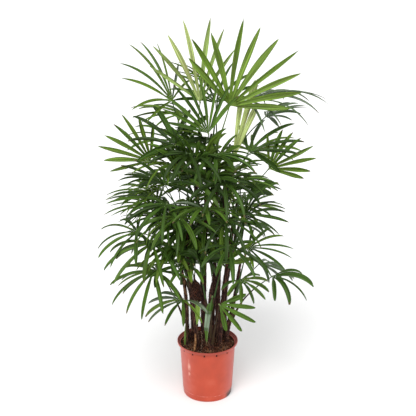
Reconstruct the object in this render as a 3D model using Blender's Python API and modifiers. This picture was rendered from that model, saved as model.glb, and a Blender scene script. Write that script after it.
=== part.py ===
"""A lady palm: twelve canes and their fan-shaped fronds in a terracotta-coloured nursery pot.

Metres, +Z up. The origin is the middle of the pot's flat underside, +X is the viewer's right and
+Y points away from the viewer. Bearings are in degrees from +X towards +Y.
"""

import math
import random
from functools import partial

import bmesh
import bpy
from mathutils import Quaternion, Vector
from mathutils.bvhtree import BVHTree

# Pot
POT_HEIGHT = 0.285
RIM_RADIUS = 0.150
LIP_HEIGHT = 0.024
LIP_TAPER = 0.002
LIP_INSET = 0.004
LIP_ROUND = 0.001
LIP_RETURN = 0.0012
LIP_RETURN_RISE = 0.0004
BODY_TOP_RADIUS = 0.1365
BASE_RADIUS = 0.1200
WALL = 0.0028
FLOOR = 0.0040
FOOT_CHAMFER = 0.004
STEP_HEIGHT = 0.030
STEP_WIDTH = 0.0015
STEP_SLOPE = 0.002
POT_SIDES = 36
DRAIN_HOLES = 6
DRAIN_RADIUS = 0.007
DRAIN_CIRCLE = 0.088
DRAIN_SIDES = 10

# Compost
GAP = 0.0003
SOIL_TOP = 0.262
SOIL_SIDES = 32
SOIL_EDGE = 0.001

# Canes
CANE_SIDES = 8
CANE_STATIONS = 7
CANE_FOOT_RADIUS = 0.0108
CANE_TOP_RADIUS = 0.0078
FOOT_FLARE = 1.25
FLARE_HEIGHT = 0.05
SLIM_CANE = 0.80
CANE_TIP_SHARE = 0.55
CANE_LEAN_POWER = 1.35
CANE_BOW = 0.012
CANE_BOW_BACK = -0.6
CANE_BOW_PHASE = (90, 50)
CANE_SHARP_ANGLE = 50

# Petioles
PETIOLE_LENGTH = 0.30
PETIOLE_MOST_SLOPE = 0.90
PETIOLE_FOOT_RADIUS = 0.0034
PETIOLE_END_RADIUS = 0.0024
PETIOLE_SIDES = 4
PETIOLE_STATIONS = 4
PETIOLE_LIFT = 0.60
PETIOLE_SPREAD = 0.22
PETIOLE_SINK = 0.010
PETIOLE_TIP_SHARE = 0.8
LEAST_RISE = 0.04
LOWEST_PETIOLE = 0.045
HIGHEST_PETIOLE = 0.012
FOOT_PASSES = 3
SEAT_PASSES = 5
FORK_SHARE = 0.30
BOWS = (0.0, 0.02, -0.02, 0.04, -0.04, 0.06, -0.06, 0.08, -0.08, 0.11, -0.11, 0.14, -0.14)
HUB_LIFTS = (0.0, 0.02, -0.02, 0.04, -0.04)
SEAT_GAP = 0.0005
WELD = 1e-7

# Fronds
SPLIT_RADIUS = 0.036
NOTCH_SHARE = 0.88
HUB_THICKNESS = 0.0070
STRAP_THICKNESS = 0.0038
STRAP_WIDTH = 0.031
STRAP_FOLD = 0.12
LINE_STEPS = 12
LONG_FROND = 0.31
LONG_STATIONS = (3, 7, 10)
SHORT_STATIONS = (4, 9)
WIDTH_SHAPE = ((0.0, 0.42), (0.12, 0.74), (0.34, 1.0), (0.66, 0.96), (0.88, 0.60), (1.0, 0.0))
OUTER_LENGTH = 0.26
DROOP_POWER = 1.3
HINGE_OUTWARD = 0.2
MOST_BEND = 0.96
CLEAR = 0.0010

# How far chance moves a strap, and how much further each time it has to move aside
SEED = 41
TRIES = 14
SWAY = 0.16
SWAY_GROWTH = 0.18
TILT = 5
TILT_GROWTH = 0.30
DROOP_RANGE = (0.75, 1.3)
DROOP_GROWTH = 2
TWIST = 16
LENGTH_RANGE = (0.90, 1.02)
LENGTH_FALL = 0.035

# How a frond of each age is made: straps, spread and droop in degrees, and width against STRAP_WIDTH.
AGES = {
    "spear": (3, 13, 2, 0.55),
    "young": (7, 78, 8, 0.60),
    "fresh": (10, 130, 9, 0.90),
    "upright": (9, 104, 14, 0.66),
    "crown": (9, 156, 30, 0.72),
    "arched": (9, 140, 58, 0.70),
    "side": (8, 101, 11, 0.64),
    "broad": (6, 130, 34, 1.00),
    "dusk": (8, 204, 24, 0.92),
    "slim": (9, 176, 30, 0.52),
    "open": (8, 188, 34, 0.78),
    "old": (8, 208, 46, 0.82),
    "hung": (6, 110, 74, 0.80),
    "turned": (5, 98, 10, 0.95),
    "blade": (1, 24, 22, 1.30),
}

# Each cane: foot right and back, top right and back, top height, thickness.
CANES = (
    (-0.100, -0.020, -0.125, -0.035, 0.70, SLIM_CANE),
    (-0.072, 0.036, -0.150, 0.030, 0.86, 0.95),
    (-0.052, -0.048, -0.110, -0.075, 1.00, 1.05),
    (-0.022, 0.052, -0.070, 0.060, 1.24, 1.00),
    (-0.014, -0.012, 0.018, 0.000, 1.34, 1.15),
    (0.018, -0.075, 0.022, -0.110, 0.64, 0.90),
    (0.050, 0.020, 0.105, 0.035, 1.28, 1.10),
    (0.060, -0.045, 0.135, -0.060, 1.02, 1.00),
    (0.096, -0.006, 0.160, -0.010, 0.72, 0.90),
    (0.024, 0.092, 0.050, 0.140, 1.18, 1.00),
    (-0.060, 0.088, -0.105, 0.155, 0.88, 0.90),
    (0.086, 0.060, 0.150, 0.120, 0.84, SLIM_CANE),
)

# Stalks of each cane. A stalk bears one frond, or two that share a foot. Each frond is its
# hub right, back and up, its blade's bearing, pitch, roll and length, and its age.
STALKS = (
    (
        [(-0.250, -0.150, 0.720, 240, -28, 0, 0.270, "open")],
        [(-0.115, -0.190, 0.590, 232, -8, 0, 0.210, "open")],
        [(-0.240, 0.040, 0.640, 172, -8, 0, 0.240, "open")],
    ),
    (
        [
            (-0.135, -0.180, 1.000, 256, -14, 0, 0.250, "old"),
            (-0.200, -0.050, 0.955, 200, 6, 0, 0.240, "slim"),
        ],
        [
            (-0.330, -0.060, 0.880, 192, -8, -14, 0.245, "old"),
            (-0.255, 0.040, 0.975, 186, 2, 0, 0.250, "slim"),
        ],
        [(-0.255, -0.140, 0.850, 235, -22, -10, 0.285, "old")],
        [
            (-0.090, -0.150, 0.745, 205, 10, 0, 0.215, "open"),
            (-0.165, -0.130, 0.830, 232, -24, 0, 0.220, "open"),
        ],
    ),
    (
        [
            (-0.194, -0.120, 1.135, 240, 46, 0, 0.245, "dusk"),
            (-0.085, -0.165, 1.180, 266, -20, 0, 0.240, "old"),
        ],
        [(-0.234, -0.050, 1.040, 182, 8, 0, 0.260, "slim")],
        [(-0.185, -0.170, 1.055, 248, -14, 0, 0.250, "old")],
        [
            (-0.012, -0.150, 1.155, 275, 30, 0, 0.220, "open"),
            (-0.010, -0.200, 1.050, 262, 6, 0, 0.220, "open"),
        ],
    ),
    (
        [(-0.163, 0.020, 1.490, 180, 60, -24, 0.350, "crown")],
        [(-0.105, 0.120, 1.400, 172, 14, 0, 0.270, "crown")],
        [
            (-0.146, -0.100, 1.315, 100, 48, 0, 0.262, "dusk"),
            (-0.080, -0.140, 1.285, 268, -8, 0, 0.250, "old"),
        ],
        [
            (-0.262, -0.020, 1.215, 180, 41, -80, 0.270, "side"),
            (-0.180, -0.080, 1.225, 226, -4, 0, 0.240, "slim"),
        ],
    ),
    (
        [(-0.034, 0.030, 1.482, 180, 80, -84, 0.398, "young")],
        [(0.100, -0.055, 1.486, 0, 64, 84, 0.408, "fresh")],
        [
            (0.004, -0.110, 1.372, 180, 72, -80, 0.290, "upright"),
            (0.035, -0.120, 1.280, 284, -6, 0, 0.250, "open"),
        ],
        [(0.050, 0.100, 1.500, 168, 44, 10, 0.290, "crown")],
    ),
    (
        [(-0.035, -0.170, 0.760, 270, 48, 0, 0.210, "broad")],
        [(0.068, -0.180, 0.765, 0, 66, 84, 0.200, "turned")],
        [(0.022, -0.210, 0.612, 256, -56, 5, 0.235, "blade")],
        [(0.057, -0.180, 0.559, 0, -26, 84, 0.195, "turned")],
    ),
    (
        [(0.185, 0.080, 1.470, -4, 20, 4, 0.415, "arched")],
        [(0.118, 0.004, 1.206, 0, 76, 84, 0.440, "spear")],
        [(0.275, 0.120, 1.390, 12, 24, 0, 0.215, "crown")],
        [
            (0.190, -0.020, 1.260, 52, 27, 0, 0.300, "dusk"),
            (0.075, -0.180, 1.170, 286, -20, 0, 0.240, "old"),
        ],
    ),
    (
        [(0.286, 0.000, 1.170, 0, 40, 80, 0.240, "side")],
        [(0.155, -0.130, 1.165, 328, -2, 0, 0.200, "slim")],
        [
            (0.180, -0.120, 1.055, 310, 52, 0, 0.190, "broad"),
            (0.085, -0.185, 0.985, 288, -22, 0, 0.230, "old"),
        ],
        [
            (0.172, -0.110, 1.000, 350, 2, 30, 0.212, "slim"),
            (0.100, -0.190, 0.860, 292, -18, 0, 0.220, "open"),
        ],
    ),
    (
        [(0.188, -0.130, 0.825, 345, 3, 20, 0.235, "slim")],
        [(0.314, -0.020, 0.634, 326, 8, 12, 0.240, "hung")],
        [(0.155, -0.165, 0.680, 310, -16, 0, 0.170, "open")],
    ),
    (
        [(0.040, 0.240, 1.430, 95, 48, 0, 0.310, "crown")],
        [(-0.150, 0.260, 1.230, 126, 22, 0, 0.290, "open")],
        [(0.220, 0.230, 1.190, 45, 18, 0, 0.270, "open")],
        [(0.050, 0.300, 1.050, 88, 2, 0, 0.270, "old")],
    ),
    (
        [
            (-0.270, 0.190, 0.990, 160, 4, 0, 0.270, "slim"),
            (-0.150, 0.280, 1.040, 118, 6, 0, 0.250, "open"),
        ],
        [(-0.120, 0.310, 0.850, 108, -4, 0, 0.270, "old")],
        [(-0.260, 0.200, 0.720, 146, -12, 0, 0.250, "old")],
        [(-0.060, 0.290, 0.640, 100, -16, 0, 0.240, "old")],
    ),
    (
        [
            (0.200, 0.190, 0.920, 52, 4, 0, 0.225, "slim"),
            (0.160, 0.290, 0.985, 74, 6, 0, 0.250, "open"),
        ],
        [(0.140, 0.310, 0.780, 68, -8, 0, 0.260, "old")],
        [(0.260, 0.170, 0.620, 28, -16, 0, 0.220, "old")],
    ),
)

YOUNG = ("spear", "young", "fresh")
PAINTS = {
    "pot_plastic": ((0.52, 0.085, 0.030), 0.42),
    "compost": ((0.035, 0.020, 0.012), 0.95),
    "cane_fibre": ((0.085, 0.036, 0.022), 0.90),
    "fresh_green": ((0.115, 0.235, 0.030), 0.45),
    "deep_green": ((0.022, 0.085, 0.016), 0.42),
}

DOWN = Vector((0.0, 0.0, -1.0))
UP = Vector((0.0, 0.0, 1.0))
TUBE_SIDE = Vector((0.3, 1.0, 0.2))


def clear_scene():
    for obj in list(bpy.data.objects):
        bpy.data.objects.remove(obj, do_unlink=True)


def make_collection(name):
    collection = bpy.data.collections.new(name)
    bpy.context.scene.collection.children.link(collection)
    return collection


def make_paint(name):
    colour, roughness = PAINTS[name]
    paint = bpy.data.materials.new(name)
    paint.use_nodes = True
    shader = paint.node_tree.nodes["Principled BSDF"]
    shader.inputs["Base Color"].default_value = (*colour, 1.0)
    shader.inputs["Roughness"].default_value = roughness
    shader.inputs["Metallic"].default_value = 0.0
    return paint


def mesh_object(name, mesh, collection, paint=None):
    obj = bpy.data.objects.new(name, mesh)
    collection.objects.link(obj)
    if paint:
        mesh.materials.append(paint)
    return obj


def mesh_from_skin(name, points, faces):
    """A closed mesh of the given points and faces, with every face turned outwards."""
    shape = bmesh.new()
    corners = [shape.verts.new(point) for point in points]
    for face in faces:
        shape.faces.new([corners[index] for index in face])
    bmesh.ops.recalc_face_normals(shape, faces=shape.faces)
    mesh = bpy.data.meshes.new(name)
    shape.to_mesh(mesh)
    shape.free()
    return mesh


def tree_of(skins):
    """One search tree over many skins, each a list of points and a list of faces."""
    points = []
    faces = []
    for skin_points, skin_faces in skins:
        first = len(points)
        points.extend(skin_points)
        faces.extend([first + index for index in face] for face in skin_faces)
    return BVHTree.FromPolygons(points, faces)


def direction(bearing, pitch):
    flat = math.cos(math.radians(pitch))
    turn = math.radians(bearing)
    return Vector((flat * math.cos(turn), flat * math.sin(turn), math.sin(math.radians(pitch))))


def turned_profile():
    """Half section of the pot: out along the floor, up inside, over the lip and down outside."""
    under_lip = POT_HEIGHT - LIP_HEIGHT
    lip_foot = RIM_RADIUS - LIP_TAPER
    lip_inside = RIM_RADIUS - WALL
    step_radius = BASE_RADIUS + (BODY_TOP_RADIUS - BASE_RADIUS) * STEP_HEIGHT / under_lip
    return (
        (0.0, FLOOR),
        (BASE_RADIUS - WALL, FLOOR),
        (BODY_TOP_RADIUS - WALL, under_lip),
        (lip_inside - LIP_INSET, under_lip + WALL),
        (lip_inside - LIP_ROUND, POT_HEIGHT - LIP_ROUND),
        (lip_inside, POT_HEIGHT),
        (RIM_RADIUS - LIP_ROUND, POT_HEIGHT),
        (RIM_RADIUS, POT_HEIGHT - LIP_ROUND),
        (lip_foot, under_lip),
        (lip_foot - LIP_RETURN, under_lip - LIP_RETURN_RISE),
        (BODY_TOP_RADIUS, under_lip),
        (step_radius + STEP_WIDTH, STEP_HEIGHT + STEP_SLOPE),
        (step_radius, STEP_HEIGHT),
        (BASE_RADIUS, FOOT_CHAMFER),
        (BASE_RADIUS - FOOT_CHAMFER, 0.0),
        (0.0, 0.0),
    )


def inner_radius(height):
    """Inside radius of the pot's wall at a height."""
    rise = (height - FLOOR) / (POT_HEIGHT - LIP_HEIGHT - FLOOR)
    return BASE_RADIUS - WALL + (BODY_TOP_RADIUS - BASE_RADIUS) * rise


def make_pot(parts, cutters):
    mesh = bpy.data.meshes.new("pot")
    profile = turned_profile()
    mesh.from_pydata([(radius, 0.0, height) for radius, height in profile], [], [])
    mesh.edges.add(len(profile) - 1)
    for index, edge in enumerate(mesh.edges):
        edge.vertices = (index, index + 1)
    pot = mesh_object("pot", mesh, parts, make_paint("pot_plastic"))
    turn = pot.modifiers.new("turn", "SCREW")
    turn.axis = "Z"
    turn.angle = math.tau
    turn.steps = POT_SIDES
    turn.render_steps = POT_SIDES
    turn.use_merge_vertices = True
    turn.merge_threshold = 1e-5
    turn.use_smooth_shade = True
    for index in range(DRAIN_HOLES):
        place = direction((index + 0.5) * 360 / DRAIN_HOLES, 0) * DRAIN_CIRCLE
        bpy.ops.mesh.primitive_cylinder_add(
            vertices=DRAIN_SIDES, radius=DRAIN_RADIUS, depth=FLOOR * 4, location=place
        )
        cutter = bpy.context.object
        cutter.name = f"drain_cutter_{index + 1}"
        cutter.display_type = "WIRE"
        cutter.hide_render = True
        for owner in list(cutter.users_collection):
            owner.objects.unlink(cutter)
        cutters.objects.link(cutter)
    drain = pot.modifiers.new("drain", "BOOLEAN")
    drain.operation = "DIFFERENCE"
    drain.operand_type = "COLLECTION"
    drain.collection = cutters
    return pot


def make_soil(parts):
    low = FLOOR + GAP
    inside = math.cos(math.pi / POT_SIDES)
    shape = bmesh.new()
    bmesh.ops.create_cone(
        shape,
        cap_ends=True,
        segments=SOIL_SIDES,
        radius1=(inner_radius(low) - GAP) * inside,
        radius2=(inner_radius(SOIL_TOP - SOIL_EDGE) - GAP) * inside,
        depth=SOIL_TOP - low,
    )
    mesh = bpy.data.meshes.new("soil")
    shape.to_mesh(mesh)
    shape.free()
    soil = mesh_object("soil", mesh, parts, make_paint("compost"))
    soil.location = (0.0, 0.0, (SOIL_TOP + low) / 2)
    return soil


def cane_line(cane):
    """Stations of a cane from its foot in the compost: straight up at first, then leaning to its top."""
    foot_x, foot_y, top_x, top_y, top, _ = cane
    foot = SOIL_TOP + GAP
    stations = [Vector((foot_x, foot_y, foot)), Vector((foot_x, foot_y, foot + FLARE_HEIGHT))]
    phase = foot_x * CANE_BOW_PHASE[0] + foot_y * CANE_BOW_PHASE[1]
    for step in range(1, CANE_STATIONS - 1):
        share = step / (CANE_STATIONS - 2)
        lean = share**CANE_LEAN_POWER
        bow = CANE_BOW * math.sin(math.pi * share) * math.sin(phase)
        stations.append(
            Vector(
                (
                    foot_x + (top_x - foot_x) * lean + bow,
                    foot_y + (top_y - foot_y) * lean + bow * CANE_BOW_BACK,
                    foot + FLARE_HEIGHT + (top - foot - FLARE_HEIGHT) * share,
                )
            )
        )
    return stations


def cane_radii(cane):
    """Radius at each station: a flared foot, an even taper, and a narrow tip."""
    foot = CANE_FOOT_RADIUS * cane[5]
    top = CANE_TOP_RADIUS * cane[5]
    body = [foot + (top - foot) * step / (CANE_STATIONS - 1) for step in range(CANE_STATIONS)]
    body[0] *= FOOT_FLARE
    body[-1] *= CANE_TIP_SHARE
    return body


def along_cane(cane, height):
    """Point on a cane's middle line and its radius, at a height."""
    line = cane_line(cane)
    radii = cane_radii(cane)
    for (low, high), (thick, thin) in zip(zip(line, line[1:]), zip(radii, radii[1:])):
        if height <= high.z:
            share = (height - low.z) / (high.z - low.z)
            return low.lerp(high, share), thick + (thin - thick) * share
    return line[-1], radii[-1]


def make_cane(name, cane, parts, paint):
    """A tapered tube of a curve with a bevel, turned into a mesh with welded caps."""
    curve = bpy.data.curves.new(name, "CURVE")
    curve.dimensions = "3D"
    curve.bevel_depth = 1.0
    curve.bevel_resolution = (CANE_SIDES - 4) // 2
    curve.use_fill_caps = True
    spline = curve.splines.new("POLY")
    spline.points.add(CANE_STATIONS - 1)
    for point, place, radius in zip(spline.points, cane_line(cane), cane_radii(cane)):
        point.co = (*place, 1.0)
        point.radius = radius
    guide = mesh_object(f"{name}_guide", curve, parts)
    graph = bpy.context.evaluated_depsgraph_get()
    mesh = bpy.data.meshes.new_from_object(guide.evaluated_get(graph))
    shape = bmesh.new()
    shape.from_mesh(mesh)
    bmesh.ops.remove_doubles(shape, verts=shape.verts, dist=1e-6)
    bmesh.ops.recalc_face_normals(shape, faces=shape.faces)
    shape.to_mesh(mesh)
    shape.free()
    mesh.name = name
    mesh.materials.clear()
    obj = mesh_object(name, mesh, parts, paint)
    obj.matrix_world = guide.matrix_world
    bpy.data.objects.remove(guide, do_unlink=True)
    mesh.shade_smooth()
    mesh.set_sharp_from_angle(angle=math.radians(CANE_SHARP_ANGLE))
    return obj


def tube_skin(line, radii, sides):
    """Points and faces of a capped tube round a line."""
    points = []
    faces = []
    befores = line[:1] + line[:-1]
    afters = line[1:] + line[-1:]
    headings = [(after - before).normalized() for before, after in zip(befores, afters)]
    side = headings[0].cross(TUBE_SIDE).normalized()
    for place, heading, radius in zip(line, headings, radii):
        side = (side - heading * side.dot(heading)).normalized()
        other = heading.cross(side)
        for corner in range(sides):
            turn = math.tau * corner / sides
            points.append(place + (side * math.cos(turn) + other * math.sin(turn)) * radius)
    for ring in range(len(line) - 1):
        for corner in range(sides):
            after = (corner + 1) % sides
            near = ring * sides
            far = near + sides
            faces.append([near + corner, near + after, far + after, far + corner])
    faces.append(list(range(sides)))
    faces.append([len(points) - 1 - corner for corner in range(sides)])
    return points, faces


def petiole_foot(cane, hub):
    """Where a petiole leaves its cane, and the level direction it leaves in."""
    height = SOIL_TOP + LOWEST_PETIOLE
    for _ in range(FOOT_PASSES):
        middle, radius = along_cane(cane, height)
        away = Vector((hub.x - middle.x, hub.y - middle.y, 0.0))
        length = max(PETIOLE_LENGTH, away.length / PETIOLE_MOST_SLOPE)
        height = hub.z - math.sqrt(length**2 - away.length**2)
        height = min(max(height, SOIL_TOP + LOWEST_PETIOLE), cane[4] - HIGHEST_PETIOLE)
    middle, radius = along_cane(cane, height)
    away = Vector((hub.x - middle.x, hub.y - middle.y, 0.0)).normalized()
    return middle + away * (radius + PETIOLE_FOOT_RADIUS + SEAT_GAP), away


def fork_foot(line, hub):
    """Where a second petiole leaves the first, inside it and a little above its foot."""
    start = line[0].lerp(line[1], FORK_SHARE)
    return start, Vector((hub.x - start.x, hub.y - start.y, 0.0)).normalized()


def petiole_line(foot, away, hub, along, bow):
    """Stations of a petiole that rises from its foot, arches out to the hub and sinks into the blade."""
    side = Vector((-away.y, away.x, 0.0))
    rise = max(hub.z - foot.z, LEAST_RISE)
    control = foot + UP * rise * PETIOLE_LIFT + away * rise * PETIOLE_SPREAD + side * bow
    line = []
    for step in range(PETIOLE_STATIONS):
        t = step / (PETIOLE_STATIONS - 1)
        line.append(foot * (1 - t) ** 2 + control * 2 * t * (1 - t) + hub * t**2)
    line.append(hub + along * PETIOLE_SINK)
    return line


def petiole_radii(extra=0.0):
    """Radius at each station of a petiole, and at the end that is sunk in the blade."""
    fall = (PETIOLE_FOOT_RADIUS - PETIOLE_END_RADIUS) / (PETIOLE_STATIONS - 1)
    radii = [PETIOLE_FOOT_RADIUS - fall * step + extra for step in range(PETIOLE_STATIONS)]
    return radii + [PETIOLE_END_RADIUS * PETIOLE_TIP_SHARE + extra]


def blade_frame(bearing, pitch, roll):
    """The blade's middle direction, its left side and its upper face."""
    along = direction(bearing, pitch)
    level = direction(bearing + 90, 0)
    upper = along.cross(level)
    turn = math.radians(roll)
    across = level * math.cos(turn) + upper * math.sin(turn)
    return along, across, along.cross(across)


def width_at(share):
    """Width of a strap along its length, against its widest."""
    for (near, narrow), (far, wide) in zip(WIDTH_SHAPE, WIDTH_SHAPE[1:]):
        if share <= far:
            return narrow + (wide - narrow) * (share - near) / (far - near)
    return 0.0


def strap_line(start, heading, side, length, droop, twist):
    """Stations of one strap, which bends down under its own weight: place, side and upper face."""
    outward = Vector((heading.x, heading.y, 0.0))
    hinge = heading.cross(DOWN + outward * HINGE_OUTWARD)
    hinge = hinge.normalized() if hinge.length > 1e-4 else side.copy()
    most = heading.angle(DOWN) * MOST_BEND
    stations = []
    place = start.copy()
    for step in range(LINE_STEPS + 1):
        share = step / LINE_STEPS
        bend = Quaternion(hinge, min(math.radians(droop) * share**DROOP_POWER, most))
        ahead = bend @ heading
        beside = Quaternion(ahead, math.radians(twist) * share) @ (bend @ side)
        stations.append((place.copy(), beside, ahead.cross(beside)))
        place = place + ahead * (length / LINE_STEPS)
    return stations


def strap_rings(stations, picks, width, extra=0.0):
    """Sections of a strap at the picked stations: left edge, upper ridge, right edge, lower ridge."""
    rings = []
    for pick in picks:
        place, beside, upper = stations[pick]
        half = width * width_at(pick / LINE_STEPS) / 2 + extra
        lift = upper * half * 2 * STRAP_FOLD
        thick = STRAP_THICKNESS / 2 + extra
        rings.append(
            (
                place + beside * half + lift,
                place + upper * thick,
                place - beside * half + lift,
                place - upper * thick,
            )
        )
    return rings


def strap_skin(stations, picks, width):
    """A closed skin a little larger than the strap, for finding what it would touch."""
    rings = strap_rings(stations, picks, width, CLEAR)
    points = [corner for ring in rings for corner in ring]
    points.append(stations[-1][0])
    faces = [[0, 1, 2, 3]]
    for ring in range(len(rings) - 1):
        for corner in range(4):
            near = ring * 4 + corner
            after = ring * 4 + (corner + 1) % 4
            faces.append([near, after, after + 4, near + 4])
    last = (len(rings) - 1) * 4
    for corner in range(4):
        faces.append([last + corner, last + (corner + 1) % 4, len(points) - 1])
    return points, faces


def frond_straps(hub, row, seed, taken):
    """The straps of a frond by rule: each fans from the hub and moves aside from what is in its way."""
    _, _, _, bearing, pitch, roll, blade_length, age = row
    count, spread, droop, breadth = AGES[age]
    along, across, upper = blade_frame(bearing, pitch, roll)
    picks = LONG_STATIONS if blade_length > LONG_FROND else SHORT_STATIONS
    dice = random.Random(seed)
    own = []
    straps = []
    step = spread / max(count - 1, 1)
    for index in range(count):
        share = index / (count - 1) * 2 - 1 if count > 1 else 0.0
        angle = share * spread / 2
        full = blade_length * (1 - OUTER_LENGTH * share * share) - SPLIT_RADIUS
        start_turn = math.radians(angle)
        start = hub + (along * math.cos(start_turn) + across * math.sin(start_turn)) * SPLIT_RADIUS
        chosen = None
        for attempt in range(TRIES):
            sway = dice.uniform(-SWAY, SWAY) * step * (1 + attempt * SWAY_GROWTH)
            tilt = math.radians(dice.uniform(-TILT, TILT) * (1 + attempt * TILT_GROWTH))
            bend = droop * dice.uniform(*DROOP_RANGE)
            bend += dice.uniform(-DROOP_GROWTH, DROOP_GROWTH) * attempt
            twist = dice.uniform(-TWIST, TWIST)
            length = full * dice.uniform(*LENGTH_RANGE) * (1 - LENGTH_FALL * attempt)
            turn = math.radians(angle + sway)
            flat = along * math.cos(turn) + across * math.sin(turn)
            heading = flat * math.cos(tilt) + upper * math.sin(tilt)
            side = upper.cross(flat)
            stations = strap_line(start, heading, side, length, max(bend, 0.0), twist)
            skin = strap_skin(stations, (0,) + picks, STRAP_WIDTH * breadth)
            if BVHTree.FromPolygons(*skin).overlap(taken):
                continue
            tip_skin = strap_skin(stations, picks, STRAP_WIDTH * breadth)
            if own and BVHTree.FromPolygons(*tip_skin).overlap(tree_of(own)):
                continue
            chosen = stations
            own.append(tip_skin)
            break
        straps.append((angle, chosen))
    return straps, picks, step, STRAP_WIDTH * breadth


def blade_skin(hub, row, straps, picks, step, width):
    """One closed blade: a small fan round the hub, and the straps that grow on from its edge."""
    along, across, upper = blade_frame(*row[3:6])
    points = [hub + upper * HUB_THICKNESS / 2, hub - upper * HUB_THICKNESS / 2]
    faces = []
    count = len(straps)
    notches = []
    for index in range(count + 1):
        angle = straps[0][0] - step / 2 if index == 0 else straps[index - 1][0] + step / 2
        turn = math.radians(angle)
        notches.append(len(points))
        reach = SPLIT_RADIUS * NOTCH_SHARE
        points.append(hub + (along * math.cos(turn) + across * math.sin(turn)) * reach)
    for index, (angle, stations) in enumerate(straps):
        turn = math.radians(angle)
        start = hub + (along * math.cos(turn) + across * math.sin(turn)) * SPLIT_RADIUS
        top = len(points)
        points.append(start + upper * STRAP_THICKNESS / 2)
        points.append(start - upper * STRAP_THICKNESS / 2)
        ring = (notches[index + 1], top, notches[index], top + 1)
        faces.append([0, ring[0], ring[1]])
        faces.append([0, ring[1], ring[2]])
        faces.append([1, ring[2], ring[3]])
        faces.append([1, ring[3], ring[0]])
        if stations is None:
            faces.append([ring[1], ring[0], ring[3]])
            faces.append([ring[1], ring[3], ring[2]])
            continue
        for section in strap_rings(stations, picks, width):
            after = tuple(range(len(points), len(points) + 4))
            points.extend(section)
            for corner in range(4):
                beyond = (corner + 1) % 4
                faces.append([ring[corner], ring[beyond], after[beyond], after[corner]])
            ring = after
        points.append(stations[-1][0])
        for corner in range(4):
            faces.append([ring[corner], ring[(corner + 1) % 4], len(points) - 1])
    faces.append([0, 1, notches[0]])
    faces.append([0, notches[-1], 1])
    return points, faces


def hub_fan(hub, row):
    """The small fan round a frond's hub, with no straps."""
    count, spread, _, breadth = AGES[row[7]]
    step = spread / max(count - 1, 1)
    bare = [((index - (count - 1) / 2) * step, None) for index in range(count)]
    return blade_skin(hub, row, bare, (), step, STRAP_WIDTH * breadth)


def petiole_choices():
    """Ways for a petiole to get round what is in its way: sideways bows first, then a moved hub."""
    for lift in HUB_LIFTS:
        for bow in BOWS:
            yield lift, bow


def place_petiole(foot_of, row, taken, own_cane):
    """The first choice of bow and hub that keeps petiole and hub clear of all that stands already."""
    along = direction(row[3], row[4])
    for lift, bow in petiole_choices():
        hub = Vector(row[:3]) + UP * lift
        foot, away = foot_of(hub)
        line = petiole_line(foot, away, hub, along, bow)
        skin = tube_skin(line, petiole_radii(CLEAR), PETIOLE_SIDES)
        free_end = tube_skin(line[1:], petiole_radii()[1:], PETIOLE_SIDES)
        fan = hub_fan(hub, row)
        if BVHTree.FromPolygons(*skin).overlap(taken):
            continue
        if BVHTree.FromPolygons(*fan).overlap(taken):
            continue
        if BVHTree.FromPolygons(*free_end).overlap(own_cane):
            continue
        if BVHTree.FromPolygons(*fan).overlap(own_cane):
            continue
        return hub, line, away
    raise ValueError(f"no clear place for the frond at {row[:3]}")


def plan_stalks(cane_skins):
    """Every petiole and hub, stalk by stalk, each clear of what stands before it."""
    planned = []
    skins = []
    for cane_index, stalks in enumerate(STALKS):
        others = [skin for index, skin in enumerate(cane_skins) if index != cane_index]
        own_cane = tree_of([cane_skins[cane_index]])
        for stalk_index, rows in enumerate(stalks):
            taken = tree_of(others + skins)
            stalk = []
            for row in rows:
                if stalk:
                    foot_of = partial(fork_foot, stalk[0][2])
                else:
                    foot_of = partial(petiole_foot, CANES[cane_index])
                hub, line, away = place_petiole(foot_of, row, taken, own_cane)
                stalk.append((row, hub, line, away))
            for row, hub, line, away in stalk:
                skins.append(tube_skin(line, petiole_radii(CLEAR), PETIOLE_SIDES))
                skins.append(hub_fan(hub, row))
            planned.append((f"frond_{cane_index + 1}_{stalk_index + 1}", cane_index, stalk))
    return planned, skins


def seat_on_cane(line, away, cane_tree):
    """The petiole's skin with its foot moved out to lie SEAT_GAP clear of its cane."""
    reach = 0.0
    for _ in range(SEAT_PASSES):
        moved = [place + away * reach * (1 - share / 2) for share, place in enumerate(line[:2])]
        skin = tube_skin(moved + line[2:], petiole_radii(), PETIOLE_SIDES)
        gap = min(cane_tree.find_nearest(corner)[3] for corner in skin[0][: PETIOLE_SIDES * 2])
        reach += SEAT_GAP - gap
    return skin


def is_sound(mesh):
    """Whether a mesh stays one closed surface when its nearest points are welded."""
    shape = bmesh.new()
    shape.from_mesh(mesh)
    bmesh.ops.remove_doubles(shape, verts=shape.verts, dist=WELD)
    sound = bool(shape.faces) and all(len(edge.link_faces) == 2 for edge in shape.edges)
    shape.free()
    return sound


def join_stalk(name, skins, parts, paint):
    """Blades and petioles as one body, by a union on a collection that is removed afterwards."""
    pieces = make_collection(f"{name}_pieces")
    for index, skin in enumerate(skins[1:]):
        piece = f"{name}_piece_{index}"
        mesh_object(piece, mesh_from_skin(piece, *skin), pieces)
    obj = mesh_object(name, mesh_from_skin(name, *skins[0]), parts)
    union = obj.modifiers.new("union", "BOOLEAN")
    union.operation = "UNION"
    union.operand_type = "COLLECTION"
    union.collection = pieces
    for solver in ("EXACT", "MANIFOLD"):
        union.solver = solver
        graph = bpy.context.evaluated_depsgraph_get()
        joined = bpy.data.meshes.new_from_object(obj.evaluated_get(graph))
        if is_sound(joined):
            break
    obj.modifiers.clear()
    obj.data = joined
    joined.name = name
    joined.materials.clear()
    joined.materials.append(paint)
    for piece in list(pieces.objects):
        bpy.data.objects.remove(piece, do_unlink=True)
    bpy.data.collections.remove(pieces)
    return obj


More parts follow.
